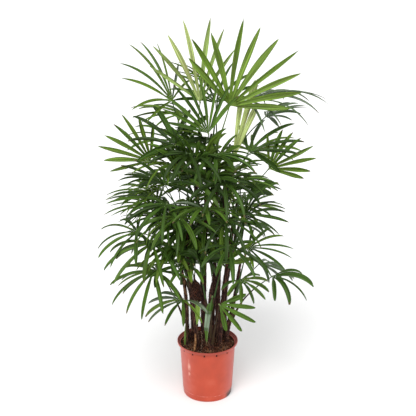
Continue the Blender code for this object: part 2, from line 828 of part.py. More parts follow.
def grow_stalks(parts, cane_objects):
    """Petioles and hubs first, then the straps one by one, each clear of all that stands before it."""
    graph = bpy.context.evaluated_depsgraph_get()
    cane_skins = [
        tube_skin(cane_line(cane), [radius + CLEAR for radius in cane_radii(cane)], CANE_SIDES)
        for cane in CANES
    ]
    cane_trees = [BVHTree.FromObject(obj, graph) for obj in cane_objects]
    planned, stalk_skins = plan_stalks(cane_skins)
    fresh = make_paint("fresh_green")
    deep = make_paint("deep_green")
    blades = []
    made = 0
    for name, cane_index, stalk in planned:
        own = range(made * 2, (made + len(stalk)) * 2)
        others = [skin for number, skin in enumerate(stalk_skins) if number not in own]
        pieces = []
        for row, hub, line, away in stalk:
            taken = tree_of(cane_skins + others + blades)
            fan = frond_straps(hub, row, SEED * 100 + made, taken)
            blade = blade_skin(hub, row, *fan)
            blades.append(blade)
            petiole = tube_skin(line, petiole_radii(), PETIOLE_SIDES)
            if not pieces:
                petiole = seat_on_cane(line, away, cane_trees[cane_index])
            pieces.extend((blade, petiole))
            made += 1
        join_stalk(name, pieces, parts, fresh if stalk[0][0][7] in YOUNG else deep)


def main():
    clear_scene()
    parts = make_collection("lady_palm")
    cutters = make_collection("cutters")
    make_pot(parts, cutters)
    make_soil(parts)
    bark = make_paint("cane_fibre")
    canes = [
        make_cane(f"cane_{number + 1}", cane, parts, bark) for number, cane in enumerate(CANES)
    ]
    grow_stalks(parts, canes)


main()
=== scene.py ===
import math
import random
from collections import defaultdict, namedtuple
from functools import cache, partial
from itertools import groupby, product

import bpy
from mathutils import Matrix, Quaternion, Vector, noise
from mathutils.bvhtree import BVHTree


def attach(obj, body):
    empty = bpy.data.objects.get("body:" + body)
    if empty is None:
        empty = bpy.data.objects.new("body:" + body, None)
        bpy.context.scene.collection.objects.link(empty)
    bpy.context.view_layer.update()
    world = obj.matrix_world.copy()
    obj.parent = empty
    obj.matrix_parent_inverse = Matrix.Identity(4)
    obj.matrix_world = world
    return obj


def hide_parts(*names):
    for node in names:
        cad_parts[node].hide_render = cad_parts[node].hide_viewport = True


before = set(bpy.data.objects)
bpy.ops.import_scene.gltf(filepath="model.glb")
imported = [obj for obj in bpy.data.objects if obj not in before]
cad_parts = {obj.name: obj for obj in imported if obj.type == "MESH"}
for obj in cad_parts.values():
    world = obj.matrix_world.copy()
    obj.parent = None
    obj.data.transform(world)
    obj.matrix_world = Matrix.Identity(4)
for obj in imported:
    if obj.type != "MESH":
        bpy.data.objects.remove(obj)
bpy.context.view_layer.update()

# A lady palm in a nursery pot. The sizes and rules down to plan_stalks repeat the source's, so that every
# strap lies where its solid does. Lengths are in metres and angles in degrees, unless a name says turn.

# Pot
POT_HEIGHT = 0.285
RIM_RADIUS = 0.150
LIP_HEIGHT = 0.024
BODY_TOP_RADIUS = 0.1365
BASE_RADIUS = 0.1200
WALL = 0.0028
FLOOR = 0.0040
FOOT_CHAMFER = 0.004
STEP_HEIGHT = 0.030
STEP_WIDTH = 0.0015
STEP_SLOPE = 0.002
DRAIN_HOLES = 6
DRAIN_RADIUS = 0.007
DRAIN_CIRCLE = 0.088

# Compost
GAP = 0.0003
SOIL_TOP = 0.262

# Canes
CANE_SIDES = 8
CANE_STATIONS = 7
CANE_FOOT_RADIUS = 0.0108
CANE_TOP_RADIUS = 0.0078
FOOT_FLARE = 1.25
FLARE_HEIGHT = 0.05
SLIM_CANE = 0.80
CANE_TIP_SHARE = 0.55
CANE_LEAN_POWER = 1.35
CANE_BOW = 0.012
CANE_BOW_BACK = -0.6
CANE_BOW_PHASE = (90, 50)

# Petioles
PETIOLE_LENGTH = 0.30
PETIOLE_MOST_SLOPE = 0.90
PETIOLE_FOOT_RADIUS = 0.0034
PETIOLE_END_RADIUS = 0.0024
PETIOLE_SIDES = 4
PETIOLE_STATIONS = 4
PETIOLE_LIFT = 0.60
PETIOLE_SPREAD = 0.22
PETIOLE_SINK = 0.010
PETIOLE_TIP_SHARE = 0.8
LEAST_RISE = 0.04
LOWEST_PETIOLE = 0.045
HIGHEST_PETIOLE = 0.012
FOOT_PASSES = 3
SEAT_GAP = 0.0005
FORK_SHARE = 0.30
# Ways for a petiole to get round what is in its way: sideways bows first, then a moved hub
BOWS = (0.0, 0.02, -0.02, 0.04, -0.04, 0.06, -0.06, 0.08, -0.08, 0.11, -0.11, 0.14, -0.14)
HUB_LIFTS = (0.0, 0.02, -0.02, 0.04, -0.04)

# Fronds
SPLIT_RADIUS = 0.036
NOTCH_SHARE = 0.88
HUB_THICKNESS = 0.0070
STRAP_THICKNESS = 0.0038
STRAP_WIDTH = 0.031
STRAP_FOLD = 0.12
LINE_STEPS = 12
LONG_FROND = 0.31
LONG_STATIONS = (3, 7, 10)
SHORT_STATIONS = (4, 9)
WIDTH_SHAPE = ((0.0, 0.42), (0.12, 0.74), (0.34, 1.0), (0.66, 0.96), (0.88, 0.60), (1.0, 0.0))
OUTER_LENGTH = 0.26
DROOP_POWER = 1.3
HINGE_OUTWARD = 0.2
LEAST_HINGE = 1e-4
MOST_BEND = 0.96
CLEAR = 0.0010

# How far chance moves a strap, and how much further each time it has to move aside
SEED = 41
TRIES = 14
SWAY = 0.16
SWAY_GROWTH = 0.18
TILT = 5
TILT_GROWTH = 0.30
DROOP_RANGE = (0.75, 1.3)
DROOP_GROWTH = 2
TWIST = 16
LENGTH_RANGE = (0.90, 1.02)
LENGTH_FALL = 0.035

# Width along a fine strap: places from its root to its tip, and the width there against its widest
BAND = ((0.0, 0.40), (0.12, 0.70), (0.34, 1.0), (0.66, 0.97), (0.86, 0.74), (1.0, 0.28))
LONG_BAND = ((0.0, 0.70), (0.08, 0.90), (0.20, 1.0), (0.62, 0.96), (0.72, 0.66), (1.0, 0.24))
WEDGE = ((0.0, 0.26), (0.40, 0.60), (0.75, 0.92), (0.88, 1.0), (1.0, 0.40))
POINTED = ((0.0, 0.46), (0.20, 0.70), (0.50, 0.97), (0.64, 1.0), (0.86, 0.62), (1.0, 0.12))
WIRY = ((0.0, 0.46), (0.20, 0.84), (0.45, 1.0), (0.70, 0.84), (0.88, 0.50), (1.0, 0.08))

# How a frond of each age is made: its straps, their spread, droop and breadth against STRAP_WIDTH, then a
# fine strap's outline and width against the solid's, and how often each colour is dealt
Age = namedtuple("Age", "straps spread droop breadth outline narrowing deal")
AGES = {
    "spear": Age(3, 13, 2, 0.55, WEDGE, 1.90, "6 pale 1 lime"),
    "young": Age(7, 78, 8, 0.60, POINTED, 1.15, "5 lime 1 pale"),
    "fresh": Age(10, 130, 9, 0.90, POINTED, 1.04, "5 fresh 1 bright"),
    "upright": Age(9, 104, 14, 0.66, WIRY, 0.90, "3 deep 3 middle 1 grey"),
    "crown": Age(9, 156, 30, 0.72, WIRY, 0.74, "4 deep 3 middle 2 grey 1 bright"),
    "arched": Age(9, 140, 58, 0.70, WIRY, 0.66, "3 deep 3 dark 2 grey"),
    "side": Age(8, 101, 11, 0.64, POINTED, 1.05, "3 middle 1 fresh 2 bright"),
    "broad": Age(6, 130, 34, 1.00, BAND, 0.95, "4 deep 2 middle"),
    "dusk": Age(8, 204, 24, 0.92, BAND, 0.92, "4 deep 3 dark 1 middle"),
    "slim": Age(9, 176, 30, 0.52, WIRY, 0.95, "3 middle 3 deep 1 dark 2 bright"),
    "open": Age(8, 188, 34, 0.78, BAND, 0.84, "4 middle 3 deep 2 bright 1 grey"),
    "old": Age(8, 208, 46, 0.82, BAND, 0.80, "3 middle 4 deep 2 grey 2 dark"),
    "hung": Age(6, 110, 74, 0.80, BAND, 1.00, "3 grey 2 middle"),
    "turned": Age(5, 98, 10, 0.95, BAND, 0.90, "3 middle 3 bright"),
    "blade": Age(1, 24, 22, 1.30, LONG_BAND, 0.92, "1 blade"),
}
YOUNG = ("spear", "young", "fresh")

# Fronds whose colour in the photo isn't the one usual for their age
# bright deals here are partly painted light, and dark and deep ones partly painted shade
OWN_DEALS = {
    "frond_1_1": "3 middle 2 bright 1 grey",
    "frond_3_4": "3 middle 2 deep",
    "frond_4_3": "2 dark 3 deep",
    "frond_4_4": "3 middle 2 bright",
    "frond_5_3": "3 deep 3 middle 1 grey",
    "frond_6_1": "3 dark 1 deep",
    "frond_6_2": "3 bright 1 fresh",
    "frond_7_4": "3 dark 2 deep",
    "frond_8_3": "2 dark 3 deep",
    "frond_8_4": "2 dark 3 deep",
    "frond_9_2": "2 grey 3 deep",
}

# Each cane: foot right and back, top right and back, top height, thickness
CANES = (
    (-0.100, -0.020, -0.125, -0.035, 0.70, SLIM_CANE),
    (-0.072, 0.036, -0.150, 0.030, 0.86, 0.95),
    (-0.052, -0.048, -0.110, -0.075, 1.00, 1.05),
    (-0.022, 0.052, -0.070, 0.060, 1.24, 1.00),
    (-0.014, -0.012, 0.018, 0.000, 1.34, 1.15),
    (0.018, -0.075, 0.022, -0.110, 0.64, 0.90),
    (0.050, 0.020, 0.105, 0.035, 1.28, 1.10),
    (0.060, -0.045, 0.135, -0.060, 1.02, 1.00),
    (0.096, -0.006, 0.160, -0.010, 0.72, 0.90),
    (0.024, 0.092, 0.050, 0.140, 1.18, 1.00),
    (-0.060, 0.088, -0.105, 0.155, 0.88, 0.90),
    (0.086, 0.060, 0.150, 0.120, 0.84, SLIM_CANE),
)

# Each frond: its cane and stalk, its hub right, back and up, its blade's bearing, pitch, roll and length,
# and its age. Two fronds on one stalk share a foot.
FRONDS = (
    (1, 1, -0.250, -0.150, 0.720, 240, -28, 0, 0.270, "open"),
    (1, 2, -0.115, -0.190, 0.590, 232, -8, 0, 0.210, "open"),
    (1, 3, -0.240, 0.040, 0.640, 172, -8, 0, 0.240, "open"),
    (2, 1, -0.135, -0.180, 1.000, 256, -14, 0, 0.250, "old"),
    (2, 1, -0.200, -0.050, 0.955, 200, 6, 0, 0.240, "slim"),
    (2, 2, -0.330, -0.060, 0.880, 192, -8, -14, 0.245, "old"),
    (2, 2, -0.255, 0.040, 0.975, 186, 2, 0, 0.250, "slim"),
    (2, 3, -0.255, -0.140, 0.850, 235, -22, -10, 0.285, "old"),
    (2, 4, -0.090, -0.150, 0.745, 205, 10, 0, 0.215, "open"),
    (2, 4, -0.165, -0.130, 0.830, 232, -24, 0, 0.220, "open"),
    (3, 1, -0.194, -0.120, 1.135, 240, 46, 0, 0.245, "dusk"),
    (3, 1, -0.085, -0.165, 1.180, 266, -20, 0, 0.240, "old"),
    (3, 2, -0.234, -0.050, 1.040, 182, 8, 0, 0.260, "slim"),
    (3, 3, -0.185, -0.170, 1.055, 248, -14, 0, 0.250, "old"),
    (3, 4, -0.012, -0.150, 1.155, 275, 30, 0, 0.220, "open"),
    (3, 4, -0.010, -0.200, 1.050, 262, 6, 0, 0.220, "open"),
    (4, 1, -0.163, 0.020, 1.490, 180, 60, -24, 0.350, "crown"),
    (4, 2, -0.105, 0.120, 1.400, 172, 14, 0, 0.270, "crown"),
    (4, 3, -0.146, -0.100, 1.315, 100, 48, 0, 0.262, "dusk"),
    (4, 3, -0.080, -0.140, 1.285, 268, -8, 0, 0.250, "old"),
    (4, 4, -0.262, -0.020, 1.215, 180, 41, -80, 0.270, "side"),
    (4, 4, -0.180, -0.080, 1.225, 226, -4, 0, 0.240, "slim"),
    (5, 1, -0.034, 0.030, 1.482, 180, 80, -84, 0.398, "young"),
    (5, 2, 0.100, -0.055, 1.486, 0, 64, 84, 0.408, "fresh"),
    (5, 3, 0.004, -0.110, 1.372, 180, 72, -80, 0.290, "upright"),
    (5, 3, 0.035, -0.120, 1.280, 284, -6, 0, 0.250, "open"),
    (5, 4, 0.050, 0.100, 1.500, 168, 44, 10, 0.290, "crown"),
    (6, 1, -0.035, -0.170, 0.760, 270, 48, 0, 0.210, "broad"),
    (6, 2, 0.068, -0.180, 0.765, 0, 66, 84, 0.200, "turned"),
    (6, 3, 0.022, -0.210, 0.612, 256, -56, 5, 0.235, "blade"),
    (6, 4, 0.057, -0.180, 0.559, 0, -26, 84, 0.195, "turned"),
    (7, 1, 0.185, 0.080, 1.470, -4, 20, 4, 0.415, "arched"),
    (7, 2, 0.118, 0.004, 1.206, 0, 76, 84, 0.440, "spear"),
    (7, 3, 0.275, 0.120, 1.390, 12, 24, 0, 0.215, "crown"),
    (7, 4, 0.190, -0.020, 1.260, 52, 27, 0, 0.300, "dusk"),
    (7, 4, 0.075, -0.180, 1.170, 286, -20, 0, 0.240, "old"),
    (8, 1, 0.286, 0.000, 1.170, 0, 40, 80, 0.240, "side"),
    (8, 2, 0.155, -0.130, 1.165, 328, -2, 0, 0.200, "slim"),
    (8, 3, 0.180, -0.120, 1.055, 310, 52, 0, 0.190, "broad"),
    (8, 3, 0.085, -0.185, 0.985, 288, -22, 0, 0.230, "old"),
    (8, 4, 0.172, -0.110, 1.000, 350, 2, 30, 0.212, "slim"),
    (8, 4, 0.100, -0.190, 0.860, 292, -18, 0, 0.220, "open"),
    (9, 1, 0.188, -0.130, 0.825, 345, 3, 20, 0.235, "slim"),
    (9, 2, 0.314, -0.020, 0.634, 326, 8, 12, 0.240, "hung"),
    (9, 3, 0.155, -0.165, 0.680, 310, -16, 0, 0.170, "open"),
    (10, 1, 0.040, 0.240, 1.430, 95, 48, 0, 0.310, "crown"),
    (10, 2, -0.150, 0.260, 1.230, 126, 22, 0, 0.290, "open"),
    (10, 3, 0.220, 0.230, 1.190, 45, 18, 0, 0.270, "open"),
    (10, 4, 0.050, 0.300, 1.050, 88, 2, 0, 0.270, "old"),
    (11, 1, -0.270, 0.190, 0.990, 160, 4, 0, 0.270, "slim"),
    (11, 1, -0.150, 0.280, 1.040, 118, 6, 0, 0.250, "open"),
    (11, 2, -0.120, 0.310, 0.850, 108, -4, 0, 0.270, "old"),
    (11, 3, -0.260, 0.200, 0.720, 146, -12, 0, 0.250, "old"),
    (11, 4, -0.060, 0.290, 0.640, 100, -16, 0, 0.240, "old"),
    (12, 1, 0.200, 0.190, 0.920, 52, 4, 0, 0.225, "slim"),
    (12, 1, 0.160, 0.290, 0.985, 74, 6, 0, 0.250, "open"),
    (12, 2, 0.140, 0.310, 0.780, 68, -8, 0, 0.260, "old"),
    (12, 3, 0.260, 0.170, 0.620, 28, -16, 0, 0.220, "old"),
)

DOWN = Vector((0.0, 0.0, -1.0))
UP = Vector((0.0, 0.0, 1.0))
TUBE_SIDE = Vector((0.3, 1.0, 0.2))


def tree_of(skins):
    """One search tree over many skins, each a list of points and a list of faces."""
    points = []
    faces = []
    for skin_points, skin_faces in skins:
        first = len(points)
        points.extend(skin_points)
        faces.extend([first + index for index in face] for face in skin_faces)
    return BVHTree.FromPolygons(points, faces)


def bands(count, sides, first=0):
    """Faces of the bands between rings of points that follow on each other, all the way round."""
    faces = []
    for near in range(first, first + count * sides, sides):
        for corner in range(sides):
            after = (corner + 1) % sides
            faces.append([near + corner, near + after, near + sides + after, near + sides + corner])
    return faces


def between(table, place):
    """The value at a place in a table of places and values, and nothing beyond its end."""
    for (near, start), (far, end) in zip(table, table[1:]):
        if place <= far:
            return start + (end - start) * (place - near) / (far - near)
    return 0.0


def direction(bearing, pitch):
    """The unit vector at a bearing and a pitch."""
    flat = math.cos(math.radians(pitch))
    turn = math.radians(bearing)
    return Vector((flat * math.cos(turn), flat * math.sin(turn), math.sin(math.radians(pitch))))


def cane_line(cane):
    """Stations of a cane from its foot in the compost: straight up at first, then leaning to its top."""
    foot_x, foot_y, top_x, top_y, top, _ = cane
    foot = SOIL_TOP + GAP
    stations = [Vector((foot_x, foot_y, foot)), Vector((foot_x, foot_y, foot + FLARE_HEIGHT))]
    phase = foot_x * CANE_BOW_PHASE[0] + foot_y * CANE_BOW_PHASE[1]
    for step in range(1, CANE_STATIONS - 1):
        share = step / (CANE_STATIONS - 2)
        lean = share**CANE_LEAN_POWER
        bow = CANE_BOW * math.sin(math.pi * share) * math.sin(phase)
        x = foot_x + (top_x - foot_x) * lean + bow
        y = foot_y + (top_y - foot_y) * lean + bow * CANE_BOW_BACK
        stations.append(Vector((x, y, foot + FLARE_HEIGHT + (top - foot - FLARE_HEIGHT) * share)))
    return stations


def cane_radii(cane):
    """Radius at each station: a flared foot, an even taper, and a narrow tip."""
    foot = CANE_FOOT_RADIUS * cane[5]
    top = CANE_TOP_RADIUS * cane[5]
    radii = [foot + (top - foot) * step / (CANE_STATIONS - 1) for step in range(CANE_STATIONS)]
    radii[0] *= FOOT_FLARE
    radii[-1] *= CANE_TIP_SHARE
    return radii


def along_cane(cane, height):
    """Point on a cane's middle line and its radius, at a height."""
    line = cane_line(cane)
    radii = cane_radii(cane)
    for (low, high), (thick, thin) in zip(zip(line, line[1:]), zip(radii, radii[1:])):
        if height <= high.z:
            share = (height - low.z) / (high.z - low.z)
            return low.lerp(high, share), thick + (thin - thick) * share
    return line[-1], radii[-1]


def headings_of(line):
    """The way a line runs at each of its points."""
    pairs = zip(line[:1] + line[:-1], line[1:] + line[-1:])
    return [(after - before).normalized() for before, after in pairs]


def tube_skin(line, radii, sides):
    """Points and faces of a capped tube round a line."""
    points = []
    headings = headings_of(line)
    side = headings[0].cross(TUBE_SIDE).normalized()
    for place, heading, radius in zip(line, headings, radii):
        side = (side - heading * side.dot(heading)).normalized()
        other = heading.cross(side)
        for corner in range(sides):
            turn = math.tau * corner / sides
            points.append(place + (side * math.cos(turn) + other * math.sin(turn)) * radius)
    faces = bands(len(line) - 1, sides)
    faces.append(list(range(sides)))
    faces.append([len(points) - 1 - corner for corner in range(sides)])
    return points, faces


def petiole_foot(cane, hub):
    """Where a petiole leaves its cane, and the level direction it leaves in."""
    height = SOIL_TOP + LOWEST_PETIOLE
    for _ in range(FOOT_PASSES):
        middle, _ = along_cane(cane, height)
        away = Vector((hub.x - middle.x, hub.y - middle.y, 0.0))
        length = max(PETIOLE_LENGTH, away.length / PETIOLE_MOST_SLOPE)
        height = hub.z - math.sqrt(length**2 - away.length**2)
        height = min(max(height, SOIL_TOP + LOWEST_PETIOLE), cane[4] - HIGHEST_PETIOLE)
    middle, radius = along_cane(cane, height)
    away = Vector((hub.x - middle.x, hub.y - middle.y, 0.0)).normalized()
    return middle + away * (radius + PETIOLE_FOOT_RADIUS + SEAT_GAP), away


def fork_foot(line, hub):
    """Where a second petiole leaves the first, inside it and a little above its foot."""
    start = line[0].lerp(line[1], FORK_SHARE)
    return start, Vector((hub.x - start.x, hub.y - start.y, 0.0)).normalized()


def petiole_line(foot, away, hub, along, bow):
    """Stations of a petiole that rises from its foot, arches out to the hub and sinks into the blade."""
    side = Vector((-away.y, away.x, 0.0))
    rise = max(hub.z - foot.z, LEAST_RISE)
    control = foot + UP * rise * PETIOLE_LIFT + away * rise * PETIOLE_SPREAD + side * bow
    line = []
    for step in range(PETIOLE_STATIONS):
        t = step / (PETIOLE_STATIONS - 1)
        line.append(foot * (1 - t) ** 2 + control * 2 * t * (1 - t) + hub * t**2)
    line.append(hub + along * PETIOLE_SINK)
    return line


def petiole_radii(extra=0.0):
    """Radius at each station of a petiole, and at the end that is sunk in the blade."""
    fall = (PETIOLE_FOOT_RADIUS - PETIOLE_END_RADIUS) / (PETIOLE_STATIONS - 1)
    radii = [PETIOLE_FOOT_RADIUS - fall * step + extra for step in range(PETIOLE_STATIONS)]
    return radii + [PETIOLE_END_RADIUS * PETIOLE_TIP_SHARE + extra]


def blade_frame(bearing, pitch, roll):
    """The blade's middle direction, its left side and its upper face."""
    along = direction(bearing, pitch)
    flat = direction(bearing + 90, 0)
    upper = along.cross(flat)
    turn = math.radians(roll)
    across = flat * math.cos(turn) + upper * math.sin(turn)
    return along, across, along.cross(across)


def strap_line(start, heading, side, length, droop, twist):
    """Stations of one strap, which bends down under its own weight: place, side and upper face."""
    outward = Vector((heading.x, heading.y, 0.0))
    hinge = heading.cross(DOWN + outward * HINGE_OUTWARD)
    hinge = hinge.normalized() if hinge.length > LEAST_HINGE else side.copy()
    most = heading.angle(DOWN) * MOST_BEND
    stations = []
    place = start.copy()
    for step in range(LINE_STEPS + 1):
        share = step / LINE_STEPS
        bend = Quaternion(hinge, min(math.radians(droop) * share**DROOP_POWER, most))
        ahead = bend @ heading
        beside = Quaternion(ahead, math.radians(twist) * share) @ (bend @ side)
        stations.append((place.copy(), beside, ahead.cross(beside)))
        place = place + ahead * (length / LINE_STEPS)
    return stations


def strap_rings(stations, picks, width, extra=0.0):
    """Sections of a strap at the picked stations: left edge, upper ridge, right edge, lower ridge."""
    rings = []
    for pick in picks:
        place, beside, upper = stations[pick]
        half = width * between(WIDTH_SHAPE, pick / LINE_STEPS) / 2 + extra
        lift = upper * half * 2 * STRAP_FOLD
        rise = upper * (STRAP_THICKNESS / 2 + extra)
        rings.append((place + beside * half + lift, place + rise, place - beside * half + lift, place - rise))
    return rings


def strap_skin(stations, picks, width):
    """A closed skin a little larger than the strap, for finding what it would touch."""
    rings = strap_rings(stations, picks, width, CLEAR)
    points = [corner for ring in rings for corner in ring]
    points.append(stations[-1][0])
    last = len(points) - 5
    faces = [[0, 1, 2, 3]] + bands(len(rings) - 1, 4)
    for corner in range(4):
        faces.append([last + corner, last + (corner + 1) % 4, len(points) - 1])
    return points, faces


def frond_straps(hub, row, seed, taken):
    """The straps of a frond by rule: each fans from the hub and moves aside from what is in its way."""
    age = AGES[row[7]]
    blade_length = row[6]
    width = STRAP_WIDTH * age.breadth
    along, across, upper = blade_frame(*row[3:6])
    picks = LONG_STATIONS if blade_length > LONG_FROND else SHORT_STATIONS
    dice = random.Random(seed)
    own = []
    straps = []
    step = age.spread / max(age.straps - 1, 1)
    for index in range(age.straps):
        share = index / (age.straps - 1) * 2 - 1 if age.straps > 1 else 0.0
        angle = share * age.spread / 2
        full = blade_length * (1 - OUTER_LENGTH * share * share) - SPLIT_RADIUS
        start_turn = math.radians(angle)
        start = hub + (along * math.cos(start_turn) + across * math.sin(start_turn)) * SPLIT_RADIUS
        chosen = None
        for attempt in range(TRIES):
            sway = dice.uniform(-SWAY, SWAY) * step * (1 + attempt * SWAY_GROWTH)
            tilt = math.radians(dice.uniform(-TILT, TILT) * (1 + attempt * TILT_GROWTH))
            bend = age.droop * dice.uniform(*DROOP_RANGE)
            bend += dice.uniform(-DROOP_GROWTH, DROOP_GROWTH) * attempt
            twist = dice.uniform(-TWIST, TWIST)
            length = full * dice.uniform(*LENGTH_RANGE) * (1 - LENGTH_FALL * attempt)
            turn = math.radians(angle + sway)
            flat = along * math.cos(turn) + across * math.sin(turn)
            heading = flat * math.cos(tilt) + upper * math.sin(tilt)
            stations = strap_line(start, heading, upper.cross(flat), length, max(bend, 0.0), twist)
            skin = strap_skin(stations, (0,) + picks, width)
            if BVHTree.FromPolygons(*skin).overlap(taken):
                continue
            tip_skin = strap_skin(stations, picks, width)
            if own and BVHTree.FromPolygons(*tip_skin).overlap(tree_of(own)):
                continue
            chosen = stations
            own.append(tip_skin)
            break
        straps.append((angle, chosen))
    return straps, picks, step, width


def blade_skin(hub, row, straps, picks, step, width):
    """One closed blade: a small fan round the hub, and the straps that grow on from its edge."""
    along, across, upper = blade_frame(*row[3:6])

    def rim(angle, reach):
        turn = math.radians(angle)
        return hub + (along * math.cos(turn) + across * math.sin(turn)) * reach

    points = [hub + upper * HUB_THICKNESS / 2, hub - upper * HUB_THICKNESS / 2]
    faces = []
    angles = [straps[0][0] - step / 2] + [angle + step / 2 for angle, _ in straps]
    notches = range(len(points), len(points) + len(angles))
    points.extend(rim(angle, SPLIT_RADIUS * NOTCH_SHARE) for angle in angles)
    for index, (angle, stations) in enumerate(straps):
        start = rim(angle, SPLIT_RADIUS)
        top = len(points)
        points.append(start + upper * STRAP_THICKNESS / 2)
        points.append(start - upper * STRAP_THICKNESS / 2)
        ring = (notches[index + 1], top, notches[index], top + 1)
        faces += [[0, ring[0], ring[1]], [0, ring[1], ring[2]], [1, ring[2], ring[3]], [1, ring[3], ring[0]]]
        if stations is None:
            faces += [[ring[1], ring[0], ring[3]], [ring[1], ring[3], ring[2]]]
            continue
        for section_points in strap_rings(stations, picks, width):
            after = tuple(range(len(points), len(points) + 4))
            points.extend(section_points)
            for corner in range(4):
                beyond = (corner + 1) % 4
                faces.append([ring[corner], ring[beyond], after[beyond], after[corner]])
            ring = after
        points.append(stations[-1][0])
        for corner in range(4):
            faces.append([ring[corner], ring[(corner + 1) % 4], len(points) - 1])
    faces += [[0, 1, notches[0]], [0, notches[-1], 1]]
    return points, faces


def hub_fan(hub, row):
    """The small fan round a frond's hub, with no straps."""
    age = AGES[row[7]]
    step = age.spread / max(age.straps - 1, 1)
    bare = [((index - (age.straps - 1) / 2) * step, None) for index in range(age.straps)]
    return blade_skin(hub, row, bare, (), step, STRAP_WIDTH * age.breadth)


def place_petiole(foot_of, row, taken, own_cane):
    """The first choice of bow and hub that keeps petiole and hub clear of all that stands already."""
    for lift, bow in product(HUB_LIFTS, BOWS):
        hub = Vector(row[:3]) + UP * lift
        foot, away = foot_of(hub)
        line = petiole_line(foot, away, hub, direction(row[3], row[4]), bow)
        skin = BVHTree.FromPolygons(*tube_skin(line, petiole_radii(CLEAR), PETIOLE_SIDES))
        free_end = BVHTree.FromPolygons(*tube_skin(line[1:], petiole_radii()[1:], PETIOLE_SIDES))
        fan = BVHTree.FromPolygons(*hub_fan(hub, row))
        pairs = ((skin, taken), (fan, taken), (free_end, own_cane), (fan, own_cane))
        if not any(tree.overlap(other) for tree, other in pairs):
            return hub, line
    raise ValueError(f"no clear place for the frond at {row[:3]}")


def plan_stalks(cane_skins):
    """Every petiole and hub, stalk by stalk, each clear of what stands before it."""
    planned = []
    skins = []
    for (cane, number), rows in groupby(FRONDS, key=lambda row: row[:2]):
        own_cane = tree_of([cane_skins[cane - 1]])
        taken = tree_of(cane_skins[: cane - 1] + cane_skins[cane:] + skins)
        stalk = []
        for _, _, *row in rows:
            foot_of = partial(fork_foot, stalk[0][2]) if stalk else partial(petiole_foot, CANES[cane - 1])
            stalk.append((row, *place_petiole(foot_of, row, taken, own_cane)))
        for row, hub, line in stalk:
            skins.append(tube_skin(line, petiole_radii(CLEAR), PETIOLE_SIDES))
            skins.append(hub_fan(hub, row))
        planned.append((f"frond_{cane}_{number}", cane - 1, stalk))
    return planned, skins


class Heap:
    """Faces of one kind, gathered for one joined piece, with a map across and along each blade."""

    def __init__(self):
        self.points = []
        self.faces = []
        self.maps = []

    def add(self, points, faces, places=None):
        """Take in some faces and the points they use."""
        used = sorted({index for face in faces for index in face})
        moved = {index: len(self.points) + order for order, index in enumerate(used)}
        self.points.extend(points[index] for index in used)
        for face in faces:
            self.faces.append([moved[index] for index in face])
            self.maps.extend(places[index] if places else (0.0, 0.0) for index in face)


heaps = defaultdict(Heap)

# Materials

EVEN = (1.0, 1.0, 1.0)


def new_material(name, colour, roughness, specular=None):
    """A material with its plain values set, its node tree and its shader."""
    material = bpy.data.materials.new(name)
    material.use_nodes = True
    shader = material.node_tree.nodes["Principled BSDF"]
    shader.inputs["Base Color"].default_value = (*colour, 1.0)
    shader.inputs["Roughness"].default_value = roughness
    if specular is not None:
        shader.inputs["Specular IOR Level"].default_value = specular
    return material, material.node_tree, shader


def node(tree, kind, values=None, links=None, **settings):
    """A shader node with its settings, its sockets' values and what is linked to them."""
    made = tree.nodes.new("ShaderNode" + kind)
    for name, setting in settings.items():
        setattr(made, name, setting)
    for socket, value in (values or {}).items():
        made.inputs[socket].default_value = value
    for socket, source in (links or {}).items():
        tree.links.new(source, made.inputs[socket])
    return made


def pattern(tree, coordinate, scale, size, detail):
    """A noise stretched by a scale along each axis of a coordinate."""
    source = node(tree, "TexCoord").outputs[coordinate]
    mapped = node(tree, "Mapping", {"Scale": scale}, {"Vector": source}).outputs["Vector"]
    return node(tree, "TexNoise", {"Scale": size, "Detail": detail}, {"Vector": mapped}).outputs["Fac"]


def ramp(tree, factor, *stops):
    """A colour from a ramp of places and colours."""
    made = node(tree, "ValToRGB", links={"Fac": factor})
    elements = made.color_ramp.elements
    while len(elements) < len(stops):
        elements.new(0.5)
    for element, (place, colour) in zip(elements, stops):
        element.position = place
        element.color = (*colour, 1.0)
    return made.outputs["Color"]


def ranged(tree, factor, low, high):
    """A value from low to high as the pattern goes from its darker to its lighter parts."""
    values = {"From Min": 0.3, "From Max": 0.7, "To Min": low, "To Max": high}
    return node(tree, "MapRange", values, {"Value": factor}).outputs["Result"]


def close_to(tree, value, middle, half):
    """One where a value is at its middle, falling to nothing half away from it on either side."""
    off = node(tree, "Math", {1: middle}, {0: value}, operation="SUBTRACT").outputs["Value"]
    size = node(tree, "Math", links={0: off}, operation="ABSOLUTE").outputs["Value"]
    values = {"From Min": half, "From Max": 0.0}
    return node(tree, "MapRange", values, {"Value": size}, interpolation_type="SMOOTHSTEP").outputs["Result"]


def coat(tree, under, colour, *masks):
    """A colour laid over another where all the masks say."""
    mask = masks[0]
    for other in masks[1:]:
        mask = node(tree, "Math", links={0: mask, 1: other}, operation="MULTIPLY").outputs["Value"]
    links = {"Factor": mask, "A": under}
    return node(tree, "Mix", {"B": (*colour, 1.0)}, links, data_type="RGBA").outputs["Result"]


def bump(tree, shader, height, strength, distance):
    """Relief from a pattern."""
    made = node(tree, "Bump", {"Strength": strength, "Distance": distance}, {"Height": height})
    tree.links.new(made.outputs["Normal"], shader.inputs["Normal"])


def scaled(colour, factor):
    """A colour made lighter or darker."""
    return tuple(channel * factor for channel in colour)


